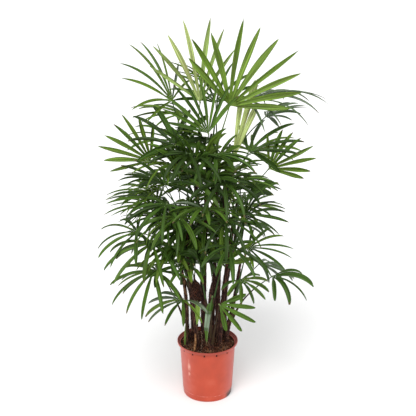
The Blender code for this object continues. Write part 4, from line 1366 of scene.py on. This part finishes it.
def pot_profile():
    """The pot's section: out under its foot, up its side, over its lip and down inside it to the middle."""
    under = POT_HEIGHT - LIP_HEIGHT
    low = POT_HEIGHT - FINE_LIP
    step = BASE_RADIUS + (BODY_TOP_RADIUS - BASE_RADIUS) * STEP_HEIGHT / under
    slope = (BODY_TOP_RADIUS - step - STEP_WIDTH) / (under - STEP_HEIGHT - STEP_SLOPE)
    foot = [
        (0.0, 0.0035),
        (0.030, 0.0035),
        (0.060, 0.0035),
        (BASE_RADIUS * 0.80, 0.0035),
        (BASE_RADIUS * 0.86, 0.0030),
        (BASE_RADIUS * 0.885, 0.0),
        (BASE_RADIUS - FOOT_CHAMFER, 0.0),
        (BASE_RADIUS - 0.0012, 0.0012),
        (BASE_RADIUS, FOOT_CHAMFER),
        (BASE_RADIUS + 0.0006, 0.012),
        (BASE_RADIUS + 0.0012, 0.020),
        (step - 0.0001, STEP_HEIGHT - 0.002),
        (step, STEP_HEIGHT),
        (step + STEP_WIDTH * 0.8, STEP_HEIGHT + STEP_SLOPE * 0.6),
        (step + STEP_WIDTH, STEP_HEIGHT + STEP_SLOPE),
    ]
    side = [
        (step + STEP_WIDTH + slope * (height - STEP_HEIGHT - STEP_SLOPE), height) for height in SIDE_HEIGHTS
    ]
    lip = [
        (BODY_TOP_RADIUS + 0.0022, low - 0.0016),
        (RIM_RADIUS - 0.0052, low - 0.0006),
        (RIM_RADIUS - 0.0030, low + 0.0004),
        (RIM_RADIUS - 0.0012, low + 0.0030),
        (RIM_RADIUS - 0.0003, low + 0.0065),
        (RIM_RADIUS, low + 0.0090),
        (RIM_RADIUS - 0.0003, POT_HEIGHT - 0.0012),
        (RIM_RADIUS - 0.0012, POT_HEIGHT - 0.0003),
        (RIM_RADIUS - 0.0024, POT_HEIGHT),
        (RIM_RADIUS - 0.0036, POT_HEIGHT - 0.0008),
        (RIM_RADIUS - WALL - 0.0018, POT_HEIGHT - 0.0030),
        (RIM_RADIUS - WALL - 0.0036, low + 0.0050),
        (RIM_RADIUS - WALL - 0.0050, low + 0.0030),
    ]
    inside = [
        (BODY_TOP_RADIUS - WALL + 0.004, low + 0.0012),
        (BODY_TOP_RADIUS - WALL, low - 0.001),
        (BODY_TOP_RADIUS - WALL - 0.0005, 0.240),
        (BASE_RADIUS - WALL, FLOOR + 0.004),
        (BASE_RADIUS - WALL - 0.004, FLOOR + 0.0005),
        (0.0, FLOOR + 0.0005),
    ]
    return foot + side + lip + inside


def notch_inset(bearing):
    """How deep the side is notched at a bearing from the front."""
    step = 360.0 / NOTCHES
    off = min(abs((bearing - NOTCH_FIRST - index * step + 180.0) % 360.0 - 180.0) for index in range(NOTCHES))
    return NOTCH_DEPTH * max(0.0, min(1.0, (NOTCH_WIDTH / 2 + NOTCH_SLOPE - off) / NOTCH_SLOPE))


def pot_skin():
    """The pot turned round its axis, with a rolled lip, small notches under it and a ring near the foot."""
    profile = pot_profile()
    points = []
    for radius, height in profile:
        notched = NOTCH_SPAN[0] <= height <= NOTCH_SPAN[1] and radius > BODY_TOP_RADIUS - NOTCH_DEPTH
        for corner in range(POT_ROUND):
            bearing = 360.0 * corner / POT_ROUND
            inset = notch_inset(bearing) if notched else 0.0
            points.append(level(math.radians(bearing + FRONT)) * (radius - inset) + UP * height)
    return points, bands(len(profile) - 1, POT_ROUND)


def notch_slots():
    """Dark slots of painted shade in the notches under the lip."""
    low, high = SLOT_SPAN
    for index in range(NOTCHES):
        middle = NOTCH_FIRST + index * 360.0 / NOTCHES + FRONT
        points = []
        for out in SLOT_OUTS:
            for side, height in ((-1, low), (1, low), (1, high), (-1, high)):
                way = direction(middle + side * NOTCH_WIDTH * 0.5, 0)
                points.append(way * (BODY_TOP_RADIUS - NOTCH_DEPTH + out) + UP * height)
        sides = [[corner, corner + 4, (corner + 1) % 4 + 4, (corner + 1) % 4] for corner in range(4)]
        heaps["pot_holes"].add(points, [[0, 1, 2, 3], [7, 6, 5, 4], *sides])


def drain_holes():
    """Drain holes under the pot: a small rim round a dark middle of painted shade."""
    for index in range(DRAIN_HOLES):
        middle = direction((index + 0.5) * 360 / DRAIN_HOLES, 0) * DRAIN_CIRCLE
        points = []
        for radius, height in (*DRAIN_RINGS, DRAIN_MIDDLE):
            for corner in range(DRAIN_SIDES):
                points.append(middle + level(math.tau * corner / DRAIN_SIDES) * radius + UP * height)
        heaps["pot_rings"].add(points, bands(2, DRAIN_SIDES))
        heaps["pot_holes"].add(points, bands(1, DRAIN_SIDES, 2 * DRAIN_SIDES))


SOIL_ROUND = 96
SOIL_RINGS = 34
SOIL_LIFT = 0.003
SOIL_GAP = 0.0012
# Lumps and crumbs: how close together, their place in the noise and their height
LUMPS = ((60, 1.0, 0.0035), (190, 5.0, 0.0022))
MOUND_HEIGHT = 0.006
MOUND_REACH = 0.035
# The bank against the lip, then the compost's edge by the wall and its foot, by radius and height
BANK = ((BODY_TOP_RADIUS + 0.0040, 0.2742), (BODY_TOP_RADIUS - WALL - SOIL_GAP, 0.2690), (0.1280, 0.2000))


def soil_height(x, y):
    """The height of the compost's lumpy top, a little higher round the canes."""
    lumps = [noise.noise(Vector((x * scale, y * scale, layer))) * height for scale, layer, height in LUMPS]
    near = max(1 - math.hypot(x - cane[0], y - cane[1]) / MOUND_REACH for cane in CANES)
    return SOIL_TOP + SOIL_LIFT + sum(lumps) + MOUND_HEIGHT * max(0.0, near)


def soil_skin():
    """The compost: its lumpy top, a bank against the lip all round, and its sides inside the pot."""
    inner = BODY_TOP_RADIUS - WALL - SOIL_GAP
    rings = [(inner * ring / SOIL_RINGS, None) for ring in range(1, SOIL_RINGS + 1)] + list(BANK)
    points = [Vector((0.0, 0.0, soil_height(0.0, 0.0)))]
    for out, height in rings:
        for corner in range(SOIL_ROUND):
            turn = math.tau * corner / SOIL_ROUND
            x = math.cos(turn) * out
            y = math.sin(turn) * out
            points.append(Vector((x, y, soil_height(x, y) if height is None else height)))
    faces = [[0, 1 + corner, 1 + (corner + 1) % SOIL_ROUND] for corner in range(SOIL_ROUND)]
    faces += [face[:1] + face[:0:-1] for face in bands(len(rings) - 1, SOIL_ROUND, 1)]
    faces.append([len(points) - 1 - corner for corner in range(SOIL_ROUND)])
    return points, faces


def on_soil(spot, lift):
    """The point over a spot, by lift above the compost's top."""
    return Vector((spot.x, spot.y, soil_height(spot.x, spot.y) + lift))


# A chip's half sizes and how far its corners are moved, against its size, and its six sides
CHIP_SHAPE = ((0.6, 1.6), (0.4, 0.9), (0.25, 0.6))
CHIP_CORNER = (0.7, 1.1)
CHIP_FACES = ((0, 1, 3, 2), (4, 6, 7, 5), (0, 4, 5, 1), (2, 3, 7, 6), (0, 2, 6, 4), (1, 5, 7, 3))


def chip(middle, dice, size, kind):
    """A bit of bark or a clod: a squashed box with its corners moved."""
    turn = Quaternion(Vector([dice.uniform(-1, 1) for _ in range(3)]), dice.uniform(0, 3))
    shape = [size * dice.uniform(*limits) for limits in CHIP_SHAPE]
    points = []
    for signs in product((-1, 1), repeat=3):
        corner = Vector([sign * reach for sign, reach in zip(signs, shape)]) * dice.uniform(*CHIP_CORNER)
        points.append(middle + turn @ corner)
    heaps[kind].add(points, CHIP_FACES)


LITTER_EDGE = BODY_TOP_RADIUS - WALL - 0.004
CHIPS = 900
CHIP_SIZE = (0.0012, 0.0042)
CHIP_LIFT = 0.0004
CHIP_KINDS = ("clods", "clods", "bark_chips", "bark_chips", "pale_bits")
CHIP_SHARE = 0.9
THREADS = 520
THREAD_BEND = 1.4
THREAD_LENGTH = (0.012, 0.045)
THREAD_STEPS = 5
THREAD_LIFT = 0.0016
THREAD_ARCH = 0.004
THREAD_KINDS = ("fibres_tan", "fibres_dark", "fibres_dark", "fibres_red")


def litter():
    """Bark, clods and lengths of fibre that lie on the compost."""
    dice = random.Random(61)
    for _ in range(CHIPS):
        out = LITTER_EDGE * math.sqrt(dice.random())
        middle = on_soil(level(dice.uniform(0, math.tau)) * out, CHIP_LIFT)
        size = dice.uniform(*CHIP_SIZE)
        chip(middle, dice, size, dice.choice(CHIP_KINDS) if dice.random() < CHIP_SHARE else "pale_bits")
    for _ in range(THREADS):
        out = LITTER_EDGE * math.sqrt(dice.random())
        spot = level(dice.uniform(0, math.tau)) * out
        heading = dice.uniform(0, math.tau)
        bend = dice.uniform(-THREAD_BEND, THREAD_BEND)
        length = dice.uniform(*THREAD_LENGTH)
        line = []
        for step in range(THREAD_STEPS + 1):
            share = step / THREAD_STEPS
            spot = spot + level(heading + bend * share) * length / THREAD_STEPS
            if math.hypot(spot.x, spot.y) > LITTER_EDGE:
                break
            arch = THREAD_ARCH * math.sin(math.pi * share) * dice.random()
            line.append(on_soil(spot, THREAD_LIFT + arch))
        if len(line) > 2:
            thick = dice.uniform(*FIBRE_THICK)
            fibre(line, thick, dice.choice(THREAD_KINDS))


MOUNDED = (4, 5, 6, 7, 8, 1)
MOUND_ROOTS = 150
MOUND_OUT = (0.004, 0.034)
MOUND_FOOT = 0.040
MOUND_RISE = (0.048, 0.002)
ROOT_PITCH = (-1.6, 0.5)
ROOT_LENGTH = (0.010, 0.030)
ROOT_BOW = 0.4
ROOT_BOWS = (1, 1, 0.5)
ROOT_STEPS = 4
ROOT_THICK = (0.0005, 0.0013)
ROOT_EDGE = BODY_TOP_RADIUS - WALL - 0.008
ROOT_KINDS = ("fibres_dark", "fibres_red", "fibres_red", "fibres_tan")


def root_mounds():
    """Reddish roots and dead fibre heaped round the feet of some canes."""
    dice = random.Random(77)
    for number in MOUNDED:
        foot = Vector((*CANES[number][:2], SOIL_TOP))
        for _ in range(MOUND_ROOTS):
            out = MOUND_OUT[0] + MOUND_OUT[1] * dice.random()
            away = level(dice.uniform(0, math.tau))
            rise = MOUND_RISE[0] * (1 - out / MOUND_FOOT) + MOUND_RISE[1]
            start = foot + away * out + UP * (rise * dice.random())
            heading = (away + UP * dice.uniform(*ROOT_PITCH)).normalized()
            length = dice.uniform(*ROOT_LENGTH)
            bow = Vector([dice.uniform(-reach, reach) for reach in ROOT_BOWS]) * length * ROOT_BOW
            line = []
            for step in range(ROOT_STEPS + 1):
                share = step / ROOT_STEPS
                place = start + heading * length * share + bow * math.sin(math.pi * share)
                if math.hypot(place.x, place.y) < ROOT_EDGE:
                    line.append(place)
            if len(line) > 2:
                thick = dice.uniform(*ROOT_THICK)
                fibre(line, thick, dice.choice(ROOT_KINDS))


# The whole plant

# Leaf colours from the palest to the darkest, then the two greyer ones, whose grey is painted sheen on the
# green
LEAF_COLOURS = {
    # bright is partly painted light, and deep and dark are partly painted shade of the crown's inside
    "pale": (0.430, 0.510, 0.190),
    "lime": (0.250, 0.345, 0.098),
    "fresh": (0.145, 0.232, 0.036),
    "bright": (0.105, 0.180, 0.020),
    "middle": (0.066, 0.130, 0.015),
    "deep": (0.043, 0.091, 0.012),
    "dark": (0.026, 0.055, 0.008),
    "grey": (0.068, 0.116, 0.042),
    "blade": (0.190, 0.260, 0.170),
}
FRESH_TONES = ("pale", "lime", "fresh")
GLOSSY_TONES = ("grey", "blade")
GLOSSY = (0.34, 0.50)
SATIN = (0.46, 0.17)
# Other leafy pieces: material, slot, colour, roughness and specular level
LEAFY = {
    "leaf_tips": ("leaf_tip", "deep_green", (0.110, 0.095, 0.038), 0.6, 0.10),
    "petioles_fresh": ("petiole_fresh", "fresh_green", (0.150, 0.240, 0.050), 0.45, 0.10),
    "petioles_pale": ("petiole_pale", "fresh_green", (0.360, 0.450, 0.170), 0.45, 0.10),
    "petioles_deep": ("petiole_deep", "deep_green", (0.050, 0.095, 0.026), 0.45, 0.10),
    "petioles_brown": ("petiole_brown", "deep_green", (0.046, 0.028, 0.013), 0.55, 0.10),
    "sheaths_green": ("sheath_green", "deep_green", (0.125, 0.190, 0.085), 0.45, 0.30),
    "hubs": ("hub_crest", "deep_green", (0.200, 0.270, 0.110), 0.5, 0.10),
}
# Grainy pieces: material, slot, dark, middle and light colour, size of the grain, roughness and relief
GRAINY = {
    "sheaths_tan": (
        *("sheath_withered", "cane_fibre"),
        *((0.060, 0.028, 0.012), (0.170, 0.080, 0.036), (0.40, 0.23, 0.12), 60.0, 0.7, 0.0006),
    ),
    "shoots": (
        *("shoot_bark", "cane_fibre"),
        *((0.100, 0.040, 0.016), (0.250, 0.110, 0.042), (0.46, 0.28, 0.13), 120.0, 0.7, 0.0006),
    ),
    "fibres_dark": (
        *("fibre_dark", "cane_fibre"),
        *((0.020, 0.010, 0.007), (0.055, 0.027, 0.019), (0.10, 0.05, 0.035), 90.0, 0.85, 0.0004),
    ),
    "fibres_tan": (
        *("fibre_tan", "cane_fibre"),
        *((0.130, 0.065, 0.035), (0.270, 0.150, 0.085), (0.42, 0.27, 0.17), 90.0, 0.8, 0.0004),
    ),
    "fibres_red": (
        *("fibre_red", "cane_fibre"),
        *((0.070, 0.018, 0.008), (0.170, 0.050, 0.022), (0.32, 0.13, 0.06), 90.0, 0.85, 0.0004),
    ),
    # painted shade in the drain holes and in the notch slots
    "pot_holes": (
        *("drain_dark", "compost"),
        *((0.006, 0.004, 0.003), (0.012, 0.008, 0.006), (0.02, 0.014, 0.01), 200.0, 0.95, 0.0004),
    ),
    "soil_top": (
        *("peat", "compost"),
        *((0.006, 0.0025, 0.0015), (0.038, 0.014, 0.007), (0.190, 0.068, 0.030), 170.0, 0.95, 0.0016),
    ),
    "clods": (
        *("clod", "compost"),
        *((0.008, 0.004, 0.002), (0.028, 0.012, 0.007), (0.080, 0.034, 0.018), 300.0, 0.95, 0.0008),
    ),
    "bark_chips": (
        *("bark_chip", "compost"),
        *((0.060, 0.020, 0.010), (0.190, 0.060, 0.024), (0.380, 0.160, 0.075), 300.0, 0.85, 0.0008),
    ),
    "pale_bits": (
        *("pale_bit", "compost"),
        *((0.160, 0.095, 0.055), (0.300, 0.200, 0.130), (0.45, 0.34, 0.24), 300.0, 0.85, 0.0008),
    ),
}
FIBRE_COLOURS = ((0.007, 0.0025, 0.0025), (0.032, 0.010, 0.008), (0.230, 0.105, 0.065))
SMOOTH_GRAINY = ("sheaths_tan", "shoots")


def grow_plant():
    """The same stalks and straps as the solids, by the same rule, with finer blades on them.

    Gives the kind of piece that stands for each frond's node."""
    cane_skins = [
        tube_skin(cane_line(cane), [radius + CLEAR for radius in cane_radii(cane)], CANE_SIDES)
        for cane in CANES
    ]
    planned, stalk_skins = plan_stalks(cane_skins)
    stands_for = {}
    feet = [[] for _ in CANES]
    blades = []
    made = 0
    for name, cane, stalk in planned:
        feet[cane].append(stalk[0][2][0].z)
        own = range(made * 2, (made + len(stalk)) * 2)
        others = [skin for number, skin in enumerate(stalk_skins) if number not in own]
        for row, hub, line in stalk:
            fan = frond_straps(hub, row, SEED * 100 + made, tree_of(cane_skins + others + blades))
            blades.append(blade_skin(hub, row, *fan))
            straps, _, step, width = fan
            main = fine_frond(hub, row, straps, step, width, random.Random(5000 + made), OWN_DEALS.get(name))
            if row[7] == "spear":
                fine_petiole(line, "petioles_pale", SPEAR_HEAD)
            else:
                fine_petiole(line, "petioles_fresh" if row[7] in YOUNG else "petioles_deep")
            stands_for.setdefault(name, "leaves_" + main)
            made += 1
    for number, (cane, heights) in enumerate(zip(CANES, feet)):
        sheathed_cane(number, cane, heights)
    return stands_for


def look_of(kind):
    """The material and the slot of a kind of piece."""
    if kind.startswith("leaves_"):
        tone = kind.removeprefix("leaves_")
        gloss = GLOSSY if tone in GLOSSY_TONES else SATIN
        slot = "fresh_green" if tone in FRESH_TONES else "deep_green"
        return leaf_material("leaf_" + tone, LEAF_COLOURS[tone], *gloss), slot
    if kind in LEAFY:
        name, slot, *values = LEAFY[kind]
        return leaf_material(name, *values), slot
    if kind in GRAINY:
        name, slot, *values = GRAINY[kind]
        return grain_material(name, *values), slot
    if kind == "canes":
        return fibre_material("cane_fibre_mat", *FIBRE_COLOURS), "cane_fibre"
    return pot_material(), "pot_plastic"


def make_piece(kind):
    """One joined piece from all faces of a kind."""
    material, slot = look_of(kind)
    mesh = bpy.data.meshes.new(kind)
    mesh.from_pydata(heaps[kind].points, [], heaps[kind].faces)
    layer = mesh.uv_layers.new(name="blade_map")
    layer.data.foreach_set("uv", [value for place in heaps[kind].maps for value in place])
    if kind not in GRAINY or kind in SMOOTH_GRAINY:
        mesh.shade_smooth()
    mesh.materials.append(material)
    piece = bpy.data.objects.new(kind, mesh)
    bpy.context.scene.collection.objects.link(piece)
    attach(piece, "root")
    return piece


def dress():
    """All pieces, each on the root body, and the nodes that they stand for."""
    stands_for = grow_plant()
    inner_fronds()
    fillers()
    fibre_mat()
    sheaths()
    shoots()
    lime_blade()
    litter()
    drain_holes()
    notch_slots()
    root_mounds()
    heaps["pot"].add(*pot_skin())
    heaps["soil_top"].add(*soil_skin())
    pieces = {kind: make_piece(kind) for kind in sorted(heaps)}
    for node_name, kind in stands_for.items():
        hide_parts(node_name)
    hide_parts(*[f"cane_{number + 1}" for number in range(len(CANES))])
    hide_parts("pot")
    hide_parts("soil")


# Floor, lights and camera

FLOOR_REACH = 160.0
FLOOR_DROP = 0.0005
FLOOR_COLOUR = (0.90, 0.90, 0.90)
WORLD_STRENGTH = 0.60
# Suns: name, where each stands, how wide it is and how strong
SUNS = (
    ("key", (-0.26, -0.90, 1.15), 34.0, 2.3),
    ("fill", (0.85, -0.55, 0.80), 60.0, 0.6),
    ("back", (-0.20, 0.80, 1.20), 70.0, 0.4),
)
SUN_DISTANCE = 3.0
LENS = 86.1
SENSOR = 36.0
CAMERA_PLACE = (0.0024, -4.435, 2.556)
CAMERA_PITCH = 70.4


def make_floor():
    """A wide pale floor just under the pot."""
    mesh = bpy.data.meshes.new("floor")
    corners = [(x * FLOOR_REACH, y * FLOOR_REACH, 0) for x, y in ((-1, -1), (1, -1), (1, 1), (-1, 1))]
    mesh.from_pydata(corners, [], [[0, 1, 2, 3]])
    material, _, _ = new_material("floor_paint", FLOOR_COLOUR, 0.9, 0.1)
    mesh.materials.append(material)
    floor = bpy.data.objects.new("floor", mesh)
    floor.location = (0.0, 0.0, -FLOOR_DROP)
    bpy.context.scene.collection.objects.link(floor)


def make_lights():
    """An even white world and three broad soft suns."""
    world = bpy.data.worlds.new("studio")
    world.use_nodes = True
    background = world.node_tree.nodes["Background"]
    background.inputs["Color"].default_value = (1.0, 1.0, 1.0, 1.0)
    background.inputs["Strength"].default_value = WORLD_STRENGTH
    bpy.context.scene.world = world
    for name, place, width, strength in SUNS:
        light = bpy.data.lights.new(name, "SUN")
        light.angle = math.radians(width)
        light.energy = strength
        lamp = bpy.data.objects.new(name, light)
        lamp.location = Vector(place) * SUN_DISTANCE
        lamp.rotation_euler = Vector(place).to_track_quat("Z", "Y").to_euler()
        bpy.context.scene.collection.objects.link(lamp)


def make_camera():
    """The photo's viewpoint."""
    camera = bpy.data.cameras.new("camera")
    camera.lens = LENS
    camera.sensor_width = SENSOR
    viewer = bpy.data.objects.new("camera", camera)
    viewer.location = CAMERA_PLACE
    viewer.rotation_euler = (math.radians(CAMERA_PITCH), 0.0, 0.0)
    bpy.context.scene.collection.objects.link(viewer)
    bpy.context.scene.camera = viewer


dress()
make_floor()
make_lights()
make_camera()
bpy.context.scene.view_settings.view_transform = "Standard"
